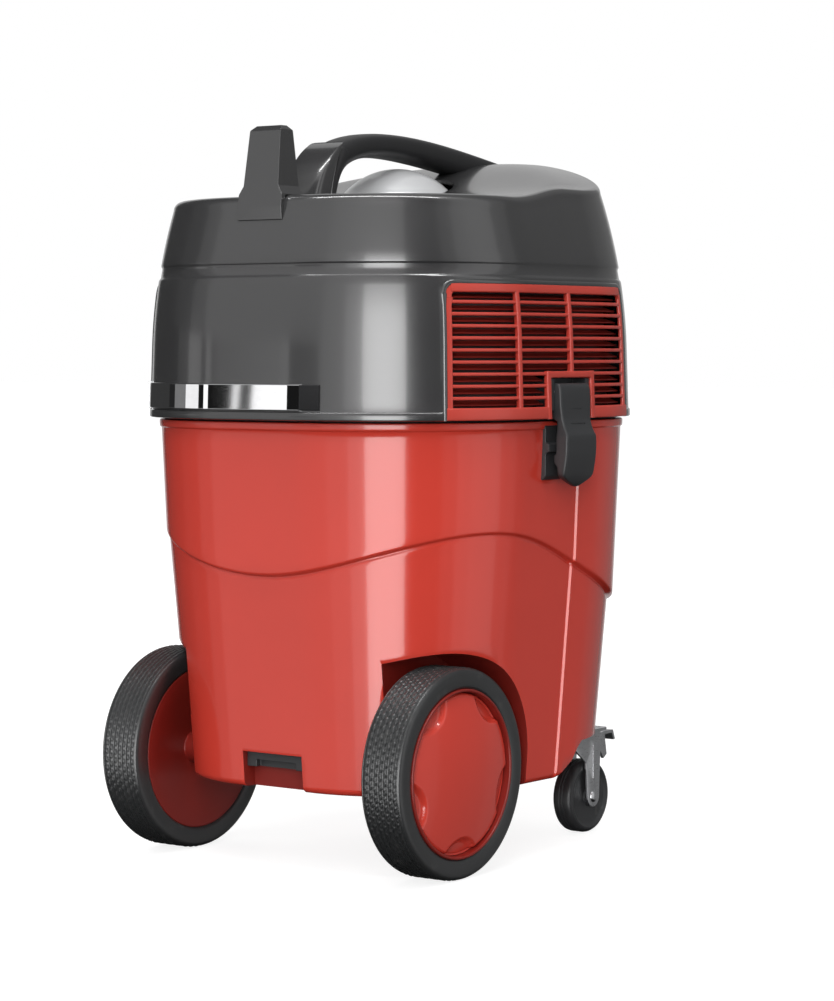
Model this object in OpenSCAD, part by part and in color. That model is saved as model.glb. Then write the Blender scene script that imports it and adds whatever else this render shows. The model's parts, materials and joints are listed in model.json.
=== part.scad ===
/* [Container] */
// Height of the container's floor above the ground
floor_z = 76; // [74:1:78]
// Height of the seam between the container and the head
seam_z = 430; // [429:0.5:431]
// Half length of the straight stretch of each side, across the machine
core_x = 43; // [42.5:0.5:43.5]
// Half length of the straight stretch of each side, along the machine
core_y = 54; // [53.5:0.5:54.5]
// Corner radius of the recessed lower skin at height 245
skin_r = 147.7; // [147:0.1:148.5]
// Moulded wall thickness of the container
wall = 4; // [3.5:0.1:4.5]

/* [Rear wheels] */
// Rear wheel diameter
wheel_d = 200; // [198:1:200]
// Tyre width
tyre_w = 47; // [45:1:47]
// Distance from the middle plane to a tyre's outer face
track_half = 183; // [182:0.5:184]
// Axle position behind the container's axis
axle_y = 132; // [131:0.5:132]
// Axle rod diameter
axle_d = 16; // [15:0.5:17]

/* [Casters] */
// Caster wheel diameter
caster_d = 75; // [74:0.5:75]
// Distance of each swivel axis from the middle plane
caster_x = 115; // [114:0.5:116]
// Distance of each swivel axis in front of the container's axis
caster_y = 147; // [146:0.5:148]
// Horizontal offset of the caster axle from the swivel axis
trail = 24.5; // [24:0.5:25]
// Height of the caster's mounting face
caster_top = 110; // [109.5:0.5:111]

/* [Head] */
// Corner radius of the head at its lower rim
rim_r = 171.5; // [171:0.5:172]
// Wall thickness of the head cover
shell = 3.5; // [3:0.1:4]
// Height of the top of the post that carries the wound cord
post_top = 707; // [705:1:708]

/* [Hose inlet] */
// Bore of the hose inlet
inlet_bore = 58; // [50:1:58]
// Height of the inlet's axis
inlet_z = 330; // [325:1:335]

/* [Hidden] */
$fn = 64;

eps = 0.01;
// How fast the head wall curves inwards above height 500
head_curve = 0.00094;
big = 600;
axle_z = wheel_d / 2;

// Corner radius of the container's recessed lower skin and of its upper skin at height z
function low_r(z) = skin_r + (z - 245) * 0.085;
function up_r(z) = skin_r + 10 + (z - 345) * 0.045;
// Height of the wave between the two skins at angle a from the rear
function wave_z(a) = 281 + 38.2 * cos(a) - 22.6 * cos(2 * a) - 13.2 * cos(3 * a);
// Corner radius of the head at height z, a straight rim that curves in towards the top
function head_r(z) = rim_r - 0.033 * (z - seam_z) - head_curve * pow(max(0, z - 500), 2);
function bezier(p, t) = pow(1 - t, 3) * p[0] + 3 * pow(1 - t, 2) * t * p[1]
    + 3 * (1 - t) * t * t * p[2] + t * t * t * p[3];
function arc(r, a0, a1, n) = [for (i = [0 : n]) r * [cos(a0 + (a1 - a0) * i / n), sin(a0 + (a1 - a0) * i / n)]];

// ---- Shared shapes -------------------------------------------------------

// A band that runs round the plan outline; profile points are [radius, height]
module round_band(profile) {
    for (corner = [0 : 3])
        rotate(corner * 90)
            translate(corner % 2 == 0 ? [core_x, core_y, 0] : [core_y, core_x, 0])
                rotate_extrude(angle = 90)
                    polygon(profile);
    for (side = [0, 180]) {
        rotate(side)
            translate([core_x, core_y, 0])
                rotate([90, 0, 0])
                    linear_extrude(2 * core_y)
                        polygon(profile);
        rotate(side)
            translate([-core_x, core_y, 0])
                rotate([90, 0, 90])
                    linear_extrude(2 * core_x)
                        polygon(profile);
    }
}

// The same outline filled in; the profile's first and last points lie at radius 0
module round_block(profile) {
    low = profile[0][1];
    high = profile[len(profile) - 1][1];
    round_band(profile);
    translate([-core_x, -core_y, low])
        cube([2 * core_x, 2 * core_y, high - low]);
}

module ring(r_out, r_in, h) {
    difference() {
        cylinder(r = r_out, h = h);
        translate([0, 0, -1])
            cylinder(r = r_in, h = h + 2);
    }
}

module along_x(x0) {
    translate([x0, 0, 0])
        rotate([0, 90, 0])
            children();
}

// A shape drawn on the YZ plane and extruded symmetrically across the machine
module across(width) {
    translate([-width / 2, 0, 0])
        rotate([90, 0, 90])
            linear_extrude(width)
                children();
}

module rounded_plate(size, r) {
    for (sx = [-1, 1], sy = [-1, 1])
        translate([sx * (size[0] / 2 - r), sy * (size[1] / 2 - r)])
            circle(r);
    square([size[0], size[1] - 2 * r], center = true);
    square([size[0] - 2 * r, size[1]], center = true);
}

module two_sides() {
    children();
    mirror([1, 0, 0])
        children();
}

// ---- Container -----------------------------------------------------------

pocket_r = wheel_d / 2 + 12;
pocket_x = track_half - tyre_w - 16;
front_rise = [[-30, floor_z], [-56, 92], [-70, caster_top], [-300, caster_top], [-300, 0], [-30, 0]];
inlet_y = -(core_y + up_r(inlet_z));
front_y = -(axle_y + wheel_d / 2);

module wheel_pockets(grow) {
    two_sides()
        translate([0, axle_y, axle_z])
            along_x(pocket_x - grow) {
                cylinder(r = pocket_r + grow, h = 200);
                translate([0, -pocket_r - grow, 0])
                    cube([2 * pocket_r, 2 * (pocket_r + grow), 200]);
            }
}

// Everything outside the wave line: the upper skin is kept above it
module wave_ring() {
    steps = 72;
    radii = [110, 320];
    points = [for (i = [0 : steps - 1], r = radii, top = [0, 1])
        let (a = i * 360 / steps)
        [r * sin(a), r * cos(a), top == 1 ? seam_z + 20 : wave_z(a)]];
    function id(i, r, top) = (i % steps) * 4 + r * 2 + top;
    faces = [for (i = [0 : steps - 1])
        each [
            [id(i + 1, 1, 0), id(i, 1, 0), id(i, 0, 0)],
            [id(i + 1, 0, 0), id(i + 1, 1, 0), id(i, 0, 0)],
            [id(i, 1, 1), id(i + 1, 1, 1), id(i, 0, 1)],
            [id(i + 1, 1, 1), id(i + 1, 0, 1), id(i, 0, 1)],
            [id(i + 1, 1, 1), id(i, 1, 1), id(i, 1, 0)],
            [id(i + 1, 1, 0), id(i + 1, 1, 1), id(i, 1, 0)],
            [id(i, 0, 1), id(i + 1, 0, 1), id(i, 0, 0)],
            [id(i + 1, 0, 1), id(i + 1, 0, 0), id(i, 0, 0)]
        ]];
    polyhedron(points, faces);
}

rim_z = seam_z - 2;

module container_outside() {
    round_block([[0, floor_z], [low_r(floor_z) - 4, floor_z], [low_r(floor_z + 6), floor_z + 6],
        [low_r(rim_z), rim_z], [0, rim_z]]);
    intersection() {
        round_band([[low_r(220) - 2, 220], [up_r(220), 220], [up_r(rim_z), rim_z], [low_r(rim_z) - 2, rim_z]]);
        wave_ring();
    }
}

module container_cavity() {
    difference() {
        round_block([[0, floor_z + wall], [low_r(floor_z) - wall, floor_z + wall],
            [low_r(rim_z + 1) - wall, rim_z + 1], [0, rim_z + 1]]);
        wheel_pockets(wall);
        translate([0, 0, wall])
            across(big)
                polygon(front_rise);
        translate([-big / 2, axle_y - 20, 0])
            cube([big, 40, axle_z + 24]);
        translate([-44, 160, 0])
            cube([88, 80, 118]);
    }
}

module container() {
    color("#c8483c")
        difference() {
            container_outside();
            container_cavity();
            wheel_pockets(0);
            across(big)
                polygon(front_rise);
            // Channel for the axle, open at the bottom between three bosses
            translate([0, axle_y, axle_z])
                along_x(-pocket_x - 1)
                    cylinder(r = axle_d / 2 + 0.05, h = 2 * pocket_x + 2);
            two_sides()
                translate([12, axle_y - 16, 0])
                    cube([pocket_x - 24, 32, axle_z + 20]);
            // Recess for the axle bridge under the rear edge
            translate([-36, 172, 84])
                cube([72, 60, 27]);
            // Opening for the hose inlet
            translate([0, inlet_y - 10, inlet_z])
                rotate([-90, 0, 0])
                    cylinder(r = inlet_bore / 2 + 3.5, h = 40);
        }
}

module inlet_fitting() {
    flange_y = inlet_y - 3;
    color("#2b2b2d")
        difference() {
            union() {
                translate([0, front_y, inlet_z])
                    rotate([-90, 0, 0])
                        cylinder(r = inlet_bore / 2 + 3, h = inlet_y - front_y + 14);
                translate([0, front_y, inlet_z])
                    rotate([-90, 0, 0])
                        cylinder(r = inlet_bore / 2 + 6, h = 5);
                translate([0, flange_y + 3, inlet_z])
                    rotate([90, 0, 0])
                        linear_extrude(6)
                            rounded_plate([96, 96], 14);
            }
            translate([0, front_y - 1, inlet_z])
                rotate([-90, 0, 0])
                    cylinder(r = inlet_bore / 2, h = 80);
            for (sx = [-1, 1], sz = [-1, 1])
                translate([sx * 38, flange_y + 5, inlet_z + sz * 38])
                    rotate([90, 0, 0])
                        cylinder(r = 2.2, h = 10);
        }
}

// Curved shield that turns the incoming air down along the wall
module inlet_deflector() {
    deflector_y = inlet_y + 14;
    color("#2b2b2d")
        translate([0, deflector_y, inlet_z])
            difference() {
                translate([-44, -4, -40])
                    cube([88, 48, 84]);
                translate([-40, 0, -41])
                    cube([80, 40, 81]);
                rotate([-90, 0, 0])
                    cylinder(r = inlet_bore / 2 + 3.06, h = 20, center = true);
            }
}

// ---- Rear axle and wheels -------------------------------------------------

axle_end = track_half - 9;

module rear_axle() {
    color("#b9bcc0")
        translate([0, axle_y, axle_z])
            along_x(-axle_end)
                cylinder(r = axle_d / 2, h = 2 * axle_end);
}

module axle_clips() {
    color("#b9bcc0")
        two_sides()
            translate([0, axle_y, axle_z])
                along_x(track_half - 14)
                    ring(13, axle_d / 2, 2);
}

// Dark bridge piece clipped in the recess under the rear edge, over the axle channel
module axle_bridge() {
    color("#2b2b2d")
        difference() {
            translate([-35.8, 172.2, 96])
                cube([71.6, 12, 14.8]);
            translate([-24, 178, 95])
                cube([48, 10, 8]);
        }
}

module tyre() {
    rib_count = 7;
    rib_pitch = (tyre_w - 8) / rib_count;
    outer = wheel_d / 2;
    color("#35363a")
        translate([0, axle_y, axle_z])
            along_x(track_half - tyre_w)
                rotate_extrude()
                    polygon(concat(
                        [[80, 2], [outer - 6, 0], [outer - 1.5, 3]],
                        [for (i = [0 : rib_count - 1], edge = [0, 1, 2, 3])
                            let (base = 4 + i * rib_pitch)
                            [edge == 1 || edge == 2 ? outer : outer - 1.8,
                                base + [0.6, 1.2, rib_pitch - 1.2, rib_pitch - 0.6][edge]]],
                        [[outer - 1.5, tyre_w - 3], [outer - 6, tyre_w], [80, tyre_w]]
                    ));
}

module rim() {
    color("#8e2a24")
        translate([0, axle_y, axle_z])
            along_x(track_half - tyre_w)
                rotate_extrude()
                    polygon([[axle_d / 2 + 0.06, -12], [15, -12], [15, 12], [70, 2.5], [80, 2],
                        [80, tyre_w], [77, tyre_w], [76, 7], [15, 17], [15, tyre_w - 18],
                        [axle_d / 2 + 0.06, tyre_w - 18]]);
}

module hub_cap() {
    color("#c8483c")
        translate([0, axle_y, axle_z])
            along_x(track_half - tyre_w)
                difference() {
                    rotate_extrude()
                        polygon([[0, tyre_w - 6], [66, tyre_w - 12], [75.5, tyre_w - 6], [76.6, tyre_w - 1],
                            [76.6, tyre_w + 0.6], [72, tyre_w + 1.4], [40, tyre_w + 1.8], [0, tyre_w + 2]]);
                    translate([0, 0, tyre_w - 13])
                        cylinder(r = 16, h = 10);
                    for (i = [0 : 4])
                        rotate(i * 72)
                            translate([86, 0, tyre_w - 3])
                                cylinder(r = 22, h = 10);
                }
}

// ---- Casters --------------------------------------------------------------

fork_top = caster_top - 5;
caster_axle_y = -caster_y - trail;
caster_r = caster_d / 2;
wheel_half = 12;
leg_in = wheel_half + 1.2;
leg_out = leg_in + 2.5;
pedal_y = -caster_y - 40;
pedal_z = fork_top - 9;

module caster_plate() {
    color("#b9bcc0") {
        difference() {
            translate([caster_x, -caster_y, caster_top - 3])
                linear_extrude(3)
                    rounded_plate([60, 60], 5);
            for (sx = [-1, 1], sy = [-1, 1])
                translate([caster_x + sx * 22, -caster_y + sy * 22, caster_top - 5])
                    cylinder(r = 3.2, h = 6);
        }
        translate([caster_x, -caster_y, fork_top - 6])
            cylinder(r = 5, h = caster_top - fork_top + 4);
        translate([caster_x, -caster_y, fork_top - 7])
            cylinder(r = 8, h = 3.5);
    }
}

module caster_fork() {
    color("#c9ccd0") {
        difference() {
            union() {
                translate([caster_x, -caster_y, fork_top - 3])
                    cylinder(r = 21, h = 3);
                translate([caster_x, -caster_y, fork_top])
                    cylinder(r = 15, h = 1.6);
                translate([caster_x - leg_out, caster_axle_y - 12, fork_top - 3])
                    cube([2 * leg_out, trail + 12, 3]);
            }
            translate([caster_x, -caster_y, fork_top - 5])
                cylinder(r = 5.05, h = 10);
        }
        for (sx = [-1, 1])
            difference() {
                translate([caster_x + (sx > 0 ? leg_in : -leg_out), 0, 0])
                    union() {
                        translate([0, caster_axle_y, caster_r])
                            rotate([0, 90, 0])
                                cylinder(r = 12, h = leg_out - leg_in);
                        rotate([90, 0, 90])
                            linear_extrude(leg_out - leg_in)
                                polygon([[caster_axle_y - 12, caster_r], [caster_axle_y + 12, caster_r],
                                    [-caster_y + 10, fork_top - 22], [-caster_y + 12, fork_top - 1],
                                    [caster_axle_y - 12, fork_top - 1]]);
                    }
                translate([caster_x, caster_axle_y, caster_r])
                    along_x(-30)
                        cylinder(r = 4, h = 60);
                translate([caster_x, pedal_y, pedal_z])
                    along_x(-30)
                        cylinder(r = 2.55, h = 60);
            }
    }
}

module caster_rivet() {
    color("#d8dadc")
        translate([caster_x, caster_axle_y, caster_r]) {
            along_x(-leg_out)
                cylinder(r = 4, h = 2 * leg_out);
            for (s = [-1, 1])
                along_x(s > 0 ? leg_out : -leg_out - 2)
                    cylinder(r = 6, h = 2);
        }
}

module caster_wheel() {
    color("#303134")
        translate([caster_x, caster_axle_y, caster_r])
            along_x(-wheel_half)
                rotate_extrude()
                    polygon([[4.06, 0], [9, 0], [11, 2], [caster_r - 9, 2.5], [caster_r - 5, 0.5],
                        [caster_r - 1.5, 3], [caster_r, 6], [caster_r, 18], [caster_r - 1.5, 21],
                        [caster_r - 5, 23.5], [caster_r - 9, 21.5], [11, 22], [9, 24], [4.06, 24]]);
}

module brake_pedal() {
    half = leg_in - 0.6;
    color("#aab0b6") {
        difference() {
            translate([caster_x, 0, 0])
                across(2 * half)
                    polygon([[pedal_y - 14, pedal_z - 18], [pedal_y - 8, pedal_z - 22], [pedal_y + 4, pedal_z - 5],
                        [pedal_y + 3, pedal_z + 4], [pedal_y - 10, pedal_z + 6.5], [pedal_y - 26, pedal_z + 6],
                        [pedal_y - 30, pedal_z - 4], [pedal_y - 27, pedal_z - 4.5], [pedal_y - 24, pedal_z + 3],
                        [pedal_y - 10, pedal_z + 3]]);
            translate([caster_x - half + 3, pedal_y - 22, pedal_z - 30])
                cube([2 * half - 6, 42, 30 + 1]);
        }
        translate([caster_x, pedal_y, pedal_z])
            along_x(-leg_out)
                cylinder(r = 2.5, h = 2 * leg_out);
    }
}

// ---- Latches ---------------------------------------------------------------

side_x = core_x + rim_r;
pivot_x = side_x - 4.5;
pivot_z = 456;
latch_half = 26;
bracket_half = 33.5;
notch_top = 469;

// Dark catch plate on the container, with a lip that the latch nose closes under
module latch_keeper() {
    color("#2b2b2d")
        rotate([90, 0, 0])
            translate([0, 0, -32])
                linear_extrude(64)
                    polygon([[200.5, 372], [204, 372], [207, 376], [207, 396], [208, 398], [side_x - 3.5, 399],
                        [side_x - 3.5, 406], [207, 408], [207, 422], [205, 426], [203, 426]]);
}

// Bracket inside the head's cut-out whose two ears hold the latch pin
module latch_bracket() {
    color("#2b2b2d")
        difference() {
            union() {
                translate([side_x - 20, -bracket_half, seam_z + 2])
                    cube([3.5, 2 * bracket_half, notch_top - seam_z - 2.5]);
                translate([side_x - 20, -bracket_half, seam_z + 8])
                    cube([19, 2 * bracket_half, notch_top - seam_z - 8.5]);
            }
            translate([side_x - 16.5, -latch_half - 1, 0])
                cube([40, 2 * latch_half + 2, big]);
            translate([pivot_x, -60, pivot_z])
                rotate([-90, 0, 0])
                    cylinder(r = 3, h = 120);
        }
}

module latch() {
    color("#2e2f31")
        difference() {
            rotate([90, 0, 0])
                translate([0, 0, -latch_half])
                    linear_extrude(2 * latch_half)
                        polygon([[side_x - 9.5, 463], [side_x - 8, 464], [side_x + 2.5, 464], [side_x + 6, 459],
                            [side_x + 7, 434], [side_x + 13, 416], [side_x + 13.5, 400], [side_x + 7, 366],
                            [side_x + 3, 365], [side_x + 0.5, 385], [side_x - 3.1, 388], [side_x - 3.1, 395],
                            [side_x - 0.5, 397], [side_x - 0.5, 428], [side_x - 9.5, 431]]);
            translate([pivot_x, -60, pivot_z])
                rotate([-90, 0, 0])
                    cylinder(r = 3.06, h = 120);
        }
}

module latch_pin() {
    color("#b9bcc0")
        translate([pivot_x, -bracket_half, pivot_z])
            rotate([-90, 0, 0])
                cylinder(r = 3, h = 2 * bracket_half);
}

// ---- Head shells -------------------------------------------------------------

crown_r = 454;
crown_top = 690;
deck_z = 641;
head_steps = [seam_z, 470, 500, 530, 560, 566, 576, 582, 600, 620, 640, 660, 680, 700];
groove = 1.2;
grille_front = -114;
grille_back = 156;
grille_top = 560;
panel_half = 96;
panel_low = 482;
panel_high = 592;
gland_z = 458;
dome_y = -10;
dome_r = 56;

function head_wall_r(z) = head_r(z) - (z > 565 && z < 577 ? groove : 0);
function head_profile(inset) = concat([[0, seam_z - 1]], [[head_r(seam_z) - inset, seam_z - 1]],
    [for (z = head_steps) [head_wall_r(z) - inset, z]], [[0, 700]]);
// Outline of a wall that follows the head between two heights, as seen in section
function head_band(z0, z1, out, inner) = let (n = 5) concat(
    [for (i = [0 : n]) let (z = z0 + (z1 - z0) * i / n) [head_r(z) + out, z]],
    [for (i = [0 : n]) let (z = z1 - (z1 - z0) * i / n) [head_r(z) - inner, z]]);
front_plane = core_y + head_r(540);

// The head's outer form: the plan outline under a roof that rises to the front
module head_form(inset) {
    intersection() {
        round_block(head_profile(inset));
        across(big)
            polygon([[300, seam_z], [300, deck_z - inset], [60, deck_z - inset], [-20, 650 - inset],
                [-130, 683 - inset], [-180, 690 - inset], [-300, 690 - inset], [-300, seam_z]]);
        translate([0, 300, crown_top - crown_r])
            rotate([90, 0, 0])
                cylinder(r = crown_r - inset, h = 600, $fn = 256);
    }
}

module grille_window(gap) {
    r = 16;
    for (y = [grille_front + gap + r, grille_back - gap - r])
        translate([100, y, grille_top - gap - r])
            rotate([0, 90, 0])
                cylinder(r = r, h = 200);
    translate([100, grille_front + gap, seam_z - 5])
        cube([200, grille_back - grille_front - 2 * gap, grille_top - gap - r - seam_z + 5]);
    translate([100, grille_front + gap + r, seam_z])
        cube([200, grille_back - grille_front - 2 * gap - 2 * r, grille_top - gap - seam_z]);
}

module panel_window(gap) {
    translate([0, 0, (panel_low + panel_high) / 2])
        rotate([90, 0, 0])
            linear_extrude(300)
                rounded_plate([2 * (panel_half - gap), panel_high - panel_low - 2 * gap], 16 - gap);
}

module head_cover() {
    color("#434448")
        difference() {
            head_form(0);
            translate([0, 0, -eps])
                intersection() {
                    head_form(shell);
                    translate([-300, -300, seam_z - 2])
                        cube([600, 600, 400]);
                }
            two_sides()
                grille_window(0);
            panel_window(0);
            translate([0, -150, gland_z])
                rotate([90, 0, 0])
                    cylinder(r = 9, h = 100);
            translate([0, dome_y, 600])
                cylinder(r = dome_r + 0.2, h = 100);
        }
}

// Motor carrier plate that closes the head and rests on the container's rim
module head_base() {
    plate_r = rim_r - shell - 0.5;
    color("#38393c")
        difference() {
            union() {
                round_block([[0, seam_z + 2], [plate_r, seam_z + 2], [plate_r, seam_z + 7], [0, seam_z + 7]]);
                translate([0, 0, seam_z - 14])
                    cylinder(r = 58, h = 20);
            }
            translate([0, 0, seam_z - 20])
                cylinder(r = 20, h = 60);
            for (a = [45 : 90 : 315])
                rotate(a)
                    translate([84, 0, seam_z - 5])
                        cylinder(r = 2.2, h = 20);
            two_sides()
                translate([side_x - 16.5, -bracket_half - 0.5, seam_z])
                    cube([40, 2 * bracket_half + 1, 12]);
        }
    two_sides()
        latch_bracket();
}

module head_gasket() {
    color("#1d1d1f")
        round_band([[152, rim_z + 0.1], [158, rim_z + 0.1], [158, seam_z + 2], [152, seam_z + 2]]);
}

module vent_grille() {
    pitch = 11.2;
    slot_h = 6.4;
    columns = [[-104, -8], [0, 76], [84, 147]];
    color("#a8382f")
        difference() {
            intersection() {
                round_band(head_band(seam_z + 0.3, grille_top, 0.8, 3));
                grille_window(0.3);
            }
            for (row = [0 : 9], column = columns) {
                z = seam_z + 12 + row * pitch;
                y0 = z < notch_top ? (column[0] == 0 ? 40 : column[0]) : column[0];
                y1 = z < notch_top ? (column[1] == -8 ? -40 : column[1]) : column[1];
                trim = row == 9 ? 8 : 0;
                translate([100, y0 + (column[0] < -50 ? trim : 0), z])
                    cube([200, y1 - y0 - (column[1] > 100 || column[0] < -50 ? trim : 0), slot_h]);
            }
            translate([100, -bracket_half - 0.5, seam_z - 5])
                cube([200, 2 * bracket_half + 1, notch_top - seam_z + 5]);
        }
}

strip_end = 170;

module trim_strip() {
    color("#e4e6e8")
        intersection() {
            round_band(head_band(439, 464, 2.8, 0));
            translate([-62, strip_end, 400])
                cube([300, 100, 100]);
        }
}

module strip_end_cap() {
    color("#8d9094")
        intersection() {
            round_band(head_band(438, 465, 3.6, 0));
            translate([100, grille_back + 2, 400])
                cube([200, strip_end - grille_back - 2, 100]);
        }
}

// ---- Post, handle and dome ------------------------------------------------------

module cable_post() {
    color("#55565a")
        difference() {
            intersection() {
                across(80)
                    polygon([[207.5, 618], [207.5, 630], [198, 702], [192, post_top], [184, post_top], [179, 702],
                        [172, 636]]);
                translate([0, 250, 0])
                    rotate([90, 0, 0])
                        linear_extrude(120)
                            polygon([[-27, 618], [27, 618], [26, 642], [21, 650], [18.5, 703], [15, post_top],
                                [-15, post_top], [-18.5, 703], [-21, 650], [-26, 642]]);
            }
            head_form(0);
        }
}

handle_top = [[150, 636], [130, 713], [60, 729], [-190, 689]];
handle_under = [[112, 630], [104, 690], [60, 700], [-160, 664]];
handle_seam = [[122, 630], [114, 684], [86, 706], [44, 712]];

module handle_arch() {
    n = 16;
    polygon(concat([for (i = [0 : n]) bezier(handle_top, i / n)],
        [for (i = [0 : n]) bezier(handle_under, 1 - i / n)]));
}

module handle_rear_part() {
    n = 12;
    polygon(concat([for (i = [0 : n]) bezier(handle_seam, i / n)], [[200, 730], [200, 620]]));
}

module handle_root() {
    color("#3c3d40")
        difference() {
            across(46)
                intersection() {
                    handle_arch();
                    handle_rear_part();
                }
            head_form(0);
        }
}

module handle_grip() {
    color("#2a2a2c")
        difference() {
            across(38)
                difference() {
                    handle_arch();
                    handle_rear_part();
                }
            head_form(0);
        }
}

module top_dome() {
    cap_z = 676;
    cap_r = 71;
    cap_a = asin((dome_r - 2) / cap_r);
    color("#b4b6b8")
        translate([0, dome_y, 0])
            rotate_extrude()
                polygon(concat([[dome_r - 3, 634], [dome_r, 634]],
                    [for (p = arc(cap_r, 90 - cap_a, 90, 8)) [p[0], p[1] + cap_z - cap_r]],
                    [for (p = arc(cap_r - 3, 90, 90 - cap_a, 8)) [p[0], p[1] + cap_z - cap_r]]));
}

// ---- Controls ---------------------------------------------------------------------

knob_x = 64;
knob_z = 552;
knob_face = front_plane + 2.4;
flap_half = 27;
flap_z = 548;
flap_y = -front_plane - 5;
socket_low = 496;

module control_panel() {
    color("#9b9da0")
        difference() {
            intersection() {
                round_band(head_band(panel_low, panel_high, 1.2, 2.4));
                panel_window(0.3);
            }
            for (sx = [-1, 1])
                translate([sx * knob_x, -150, knob_z])
                    rotate([90, 0, 0])
                        cylinder(r = 4.06, h = 100);
            translate([-30.2, -260, socket_low - 4.2])
                cube([60.4, 100, flap_z - socket_low + 12.4]);
        }
}

module turning_knob(r, depth, bar) {
    translate([0, -knob_face, knob_z])
        rotate([90, 0, 0])
            difference() {
                union() {
                    cylinder(r = r, h = 4);
                    cylinder(r = r - 3, h = depth - 2);
                    translate([-bar / 2, -r + 2, 0])
                        cube([bar, 2 * r - 4, depth]);
                }
                for (i = [0 : 15])
                    rotate(i * 22.5)
                        translate([r + 1, 0, -1])
                            cylinder(r = 2, h = 30, $fn = 24);
            }
    translate([0, -knob_face + 30, knob_z])
        rotate([90, 0, 0])
            cylinder(r = 4, h = 31);
}

knob_depth = -front_y - knob_face;

module selector_knob() {
    color("#c8483c")
        translate([-knob_x, 0, 0])
            turning_knob(21, knob_depth, 9);
}

module suction_dial() {
    color("#2b2b2d")
        translate([knob_x, 0, 0])
            turning_knob(18, knob_depth, 6);
}

module control_switches() {
    color("#e8e4d8")
        for (sx = [-1, 1])
            difference() {
                translate([sx * knob_x - 15, -knob_face + 17, knob_z - 15])
                    cube([30, 18, 30]);
                translate([sx * knob_x, -knob_face + 32, knob_z])
                    rotate([90, 0, 0])
                        cylinder(r = 4.06, h = 30);
            }
}

module socket_body() {
    color("#2b2b2d")
        difference() {
            union() {
                translate([-30, -front_plane - 2, socket_low - 4])
                    cube([60, 34, flap_z - socket_low + 12]);
                for (sx = [-1, 1])
                    translate([sx * 29 - 1, flap_y - 3, flap_z - 4])
                        cube([2, 8, 8]);
            }
            translate([0, -front_plane - 10, socket_low + 24])
                rotate([-90, 0, 0])
                    cylinder(r = 21, h = 26);
            for (sx = [-1, 1])
                translate([sx * 9.5, -front_plane, socket_low + 24])
                    rotate([-90, 0, 0])
                        cylinder(r = 2.5, h = 28);
            translate([0, flap_y, flap_z])
                along_x(-40)
                    cylinder(r = 1.5, h = 80);
        }
}

module socket_flap() {
    color("#2e2f31")
        difference() {
            union() {
                translate([-flap_half, flap_y - 1.5, socket_low])
                    cube([2 * flap_half, 3, flap_z - socket_low]);
                translate([-flap_half, flap_y, flap_z])
                    rotate([0, 90, 0])
                        cylinder(r = 2.6, h = 2 * flap_half);
                translate([-9, flap_y - 4, socket_low])
                    cube([18, 4, 4]);
            }
            translate([0, flap_y, flap_z])
                along_x(-40)
                    cylinder(r = 1.54, h = 80);
        }
}

module flap_pin() {
    color("#b9bcc0")
        translate([0, flap_y, flap_z])
            along_x(-30)
                cylinder(r = 1.5, h = 60);
}

module cable_gland() {
    color("#232325")
        translate([0, front_y, gland_z])
            rotate([-90, 0, 0])
                difference() {
                    union() {
                        cylinder(r1 = 6.5, r2 = 8.9, h = 30);
                        translate([0, 0, 4])
                            cylinder(r = 12, h = -front_y - core_y - head_r(gland_z) - 4.6);
                    }
                    translate([0, 0, -1])
                        cylinder(r = 4, h = 40);
                }
}

// ---- Motor ----------------------------------------------------------------------------

base_top = seam_z + 7;
case_top = base_top + 52;
shaft_top = base_top + 154;

module motor_hood() {
    color("#4a4b4e")
        difference() {
            union() {
                translate([0, 0, base_top])
                    cylinder(r = 92, h = 176);
                translate([0, 0, base_top])
                    cylinder(r = 98, h = 4);
            }
            translate([0, 0, base_top - 1])
                cylinder(r = 78, h = 173);
            for (a = [0 : 30 : 330])
                rotate(a)
                    translate([85, 0, base_top + 140])
                        cube([30, 14, 36], center = true);
        }
}

module fan_case() {
    color("#c7cacd")
        difference() {
            translate([0, 0, base_top + 6])
                cylinder(r = 70, h = case_top - base_top - 6);
            translate([0, 0, base_top + 8])
                cylinder(r = 66, h = case_top - base_top - 12);
            translate([0, 0, base_top])
                cylinder(r = 30, h = 12);
            translate([0, 0, base_top])
                cylinder(r = 12, h = 80);
            for (a = [0 : 45 : 315])
                rotate(a)
                    translate([66, 0, case_top - 16])
                        cube([20, 22, 12], center = true);
        }
}

module motor_mounts() {
    color("#1d1d1f") {
        translate([0, 0, base_top])
            ring(70, 50, 6);
        translate([0, 0, case_top + 106])
            ring(30, 12, 9);
    }
}

module motor_field() {
    color("#8a8d90") {
        translate([0, 0, case_top + 10])
            ring(44, 26, 52);
        for (a = [0, 180])
            rotate(a)
                translate([30, -12, case_top])
                    cube([8, 24, 106]);
    }
}

module motor_bearings() {
    color("#c9ccd0") {
        translate([0, 0, case_top - 2])
            ring(12, 4, 8);
        translate([0, 0, case_top + 98])
            ring(12, 4, 8);
    }
}

module armature() {
    color("#b87333") {
        translate([0, 0, base_top + 12])
            cylinder(r = 3.96, h = shaft_top - base_top - 12);
        translate([0, 0, case_top + 11])
            cylinder(r = 25, h = 50);
        translate([0, 0, case_top + 68])
            cylinder(r = 13, h = 20);
    }
}

module impeller() {
    color("#d4d6d8")
        translate([0, 0, base_top + 14])
            difference() {
                union() {
                    cylinder(r = 62, h = 2);
                    cylinder(r = 10, h = 24);
                    translate([0, 0, 22])
                        ring(62, 26, 2);
                    for (a = [0 : 40 : 320])
                        rotate(a)
                            translate([27, -1, 0])
                                rotate(-25)
                                    cube([34, 2, 23]);
                }
                translate([0, 0, -1])
                    cylinder(r = 3.96, h = 40);
            }
}

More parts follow.
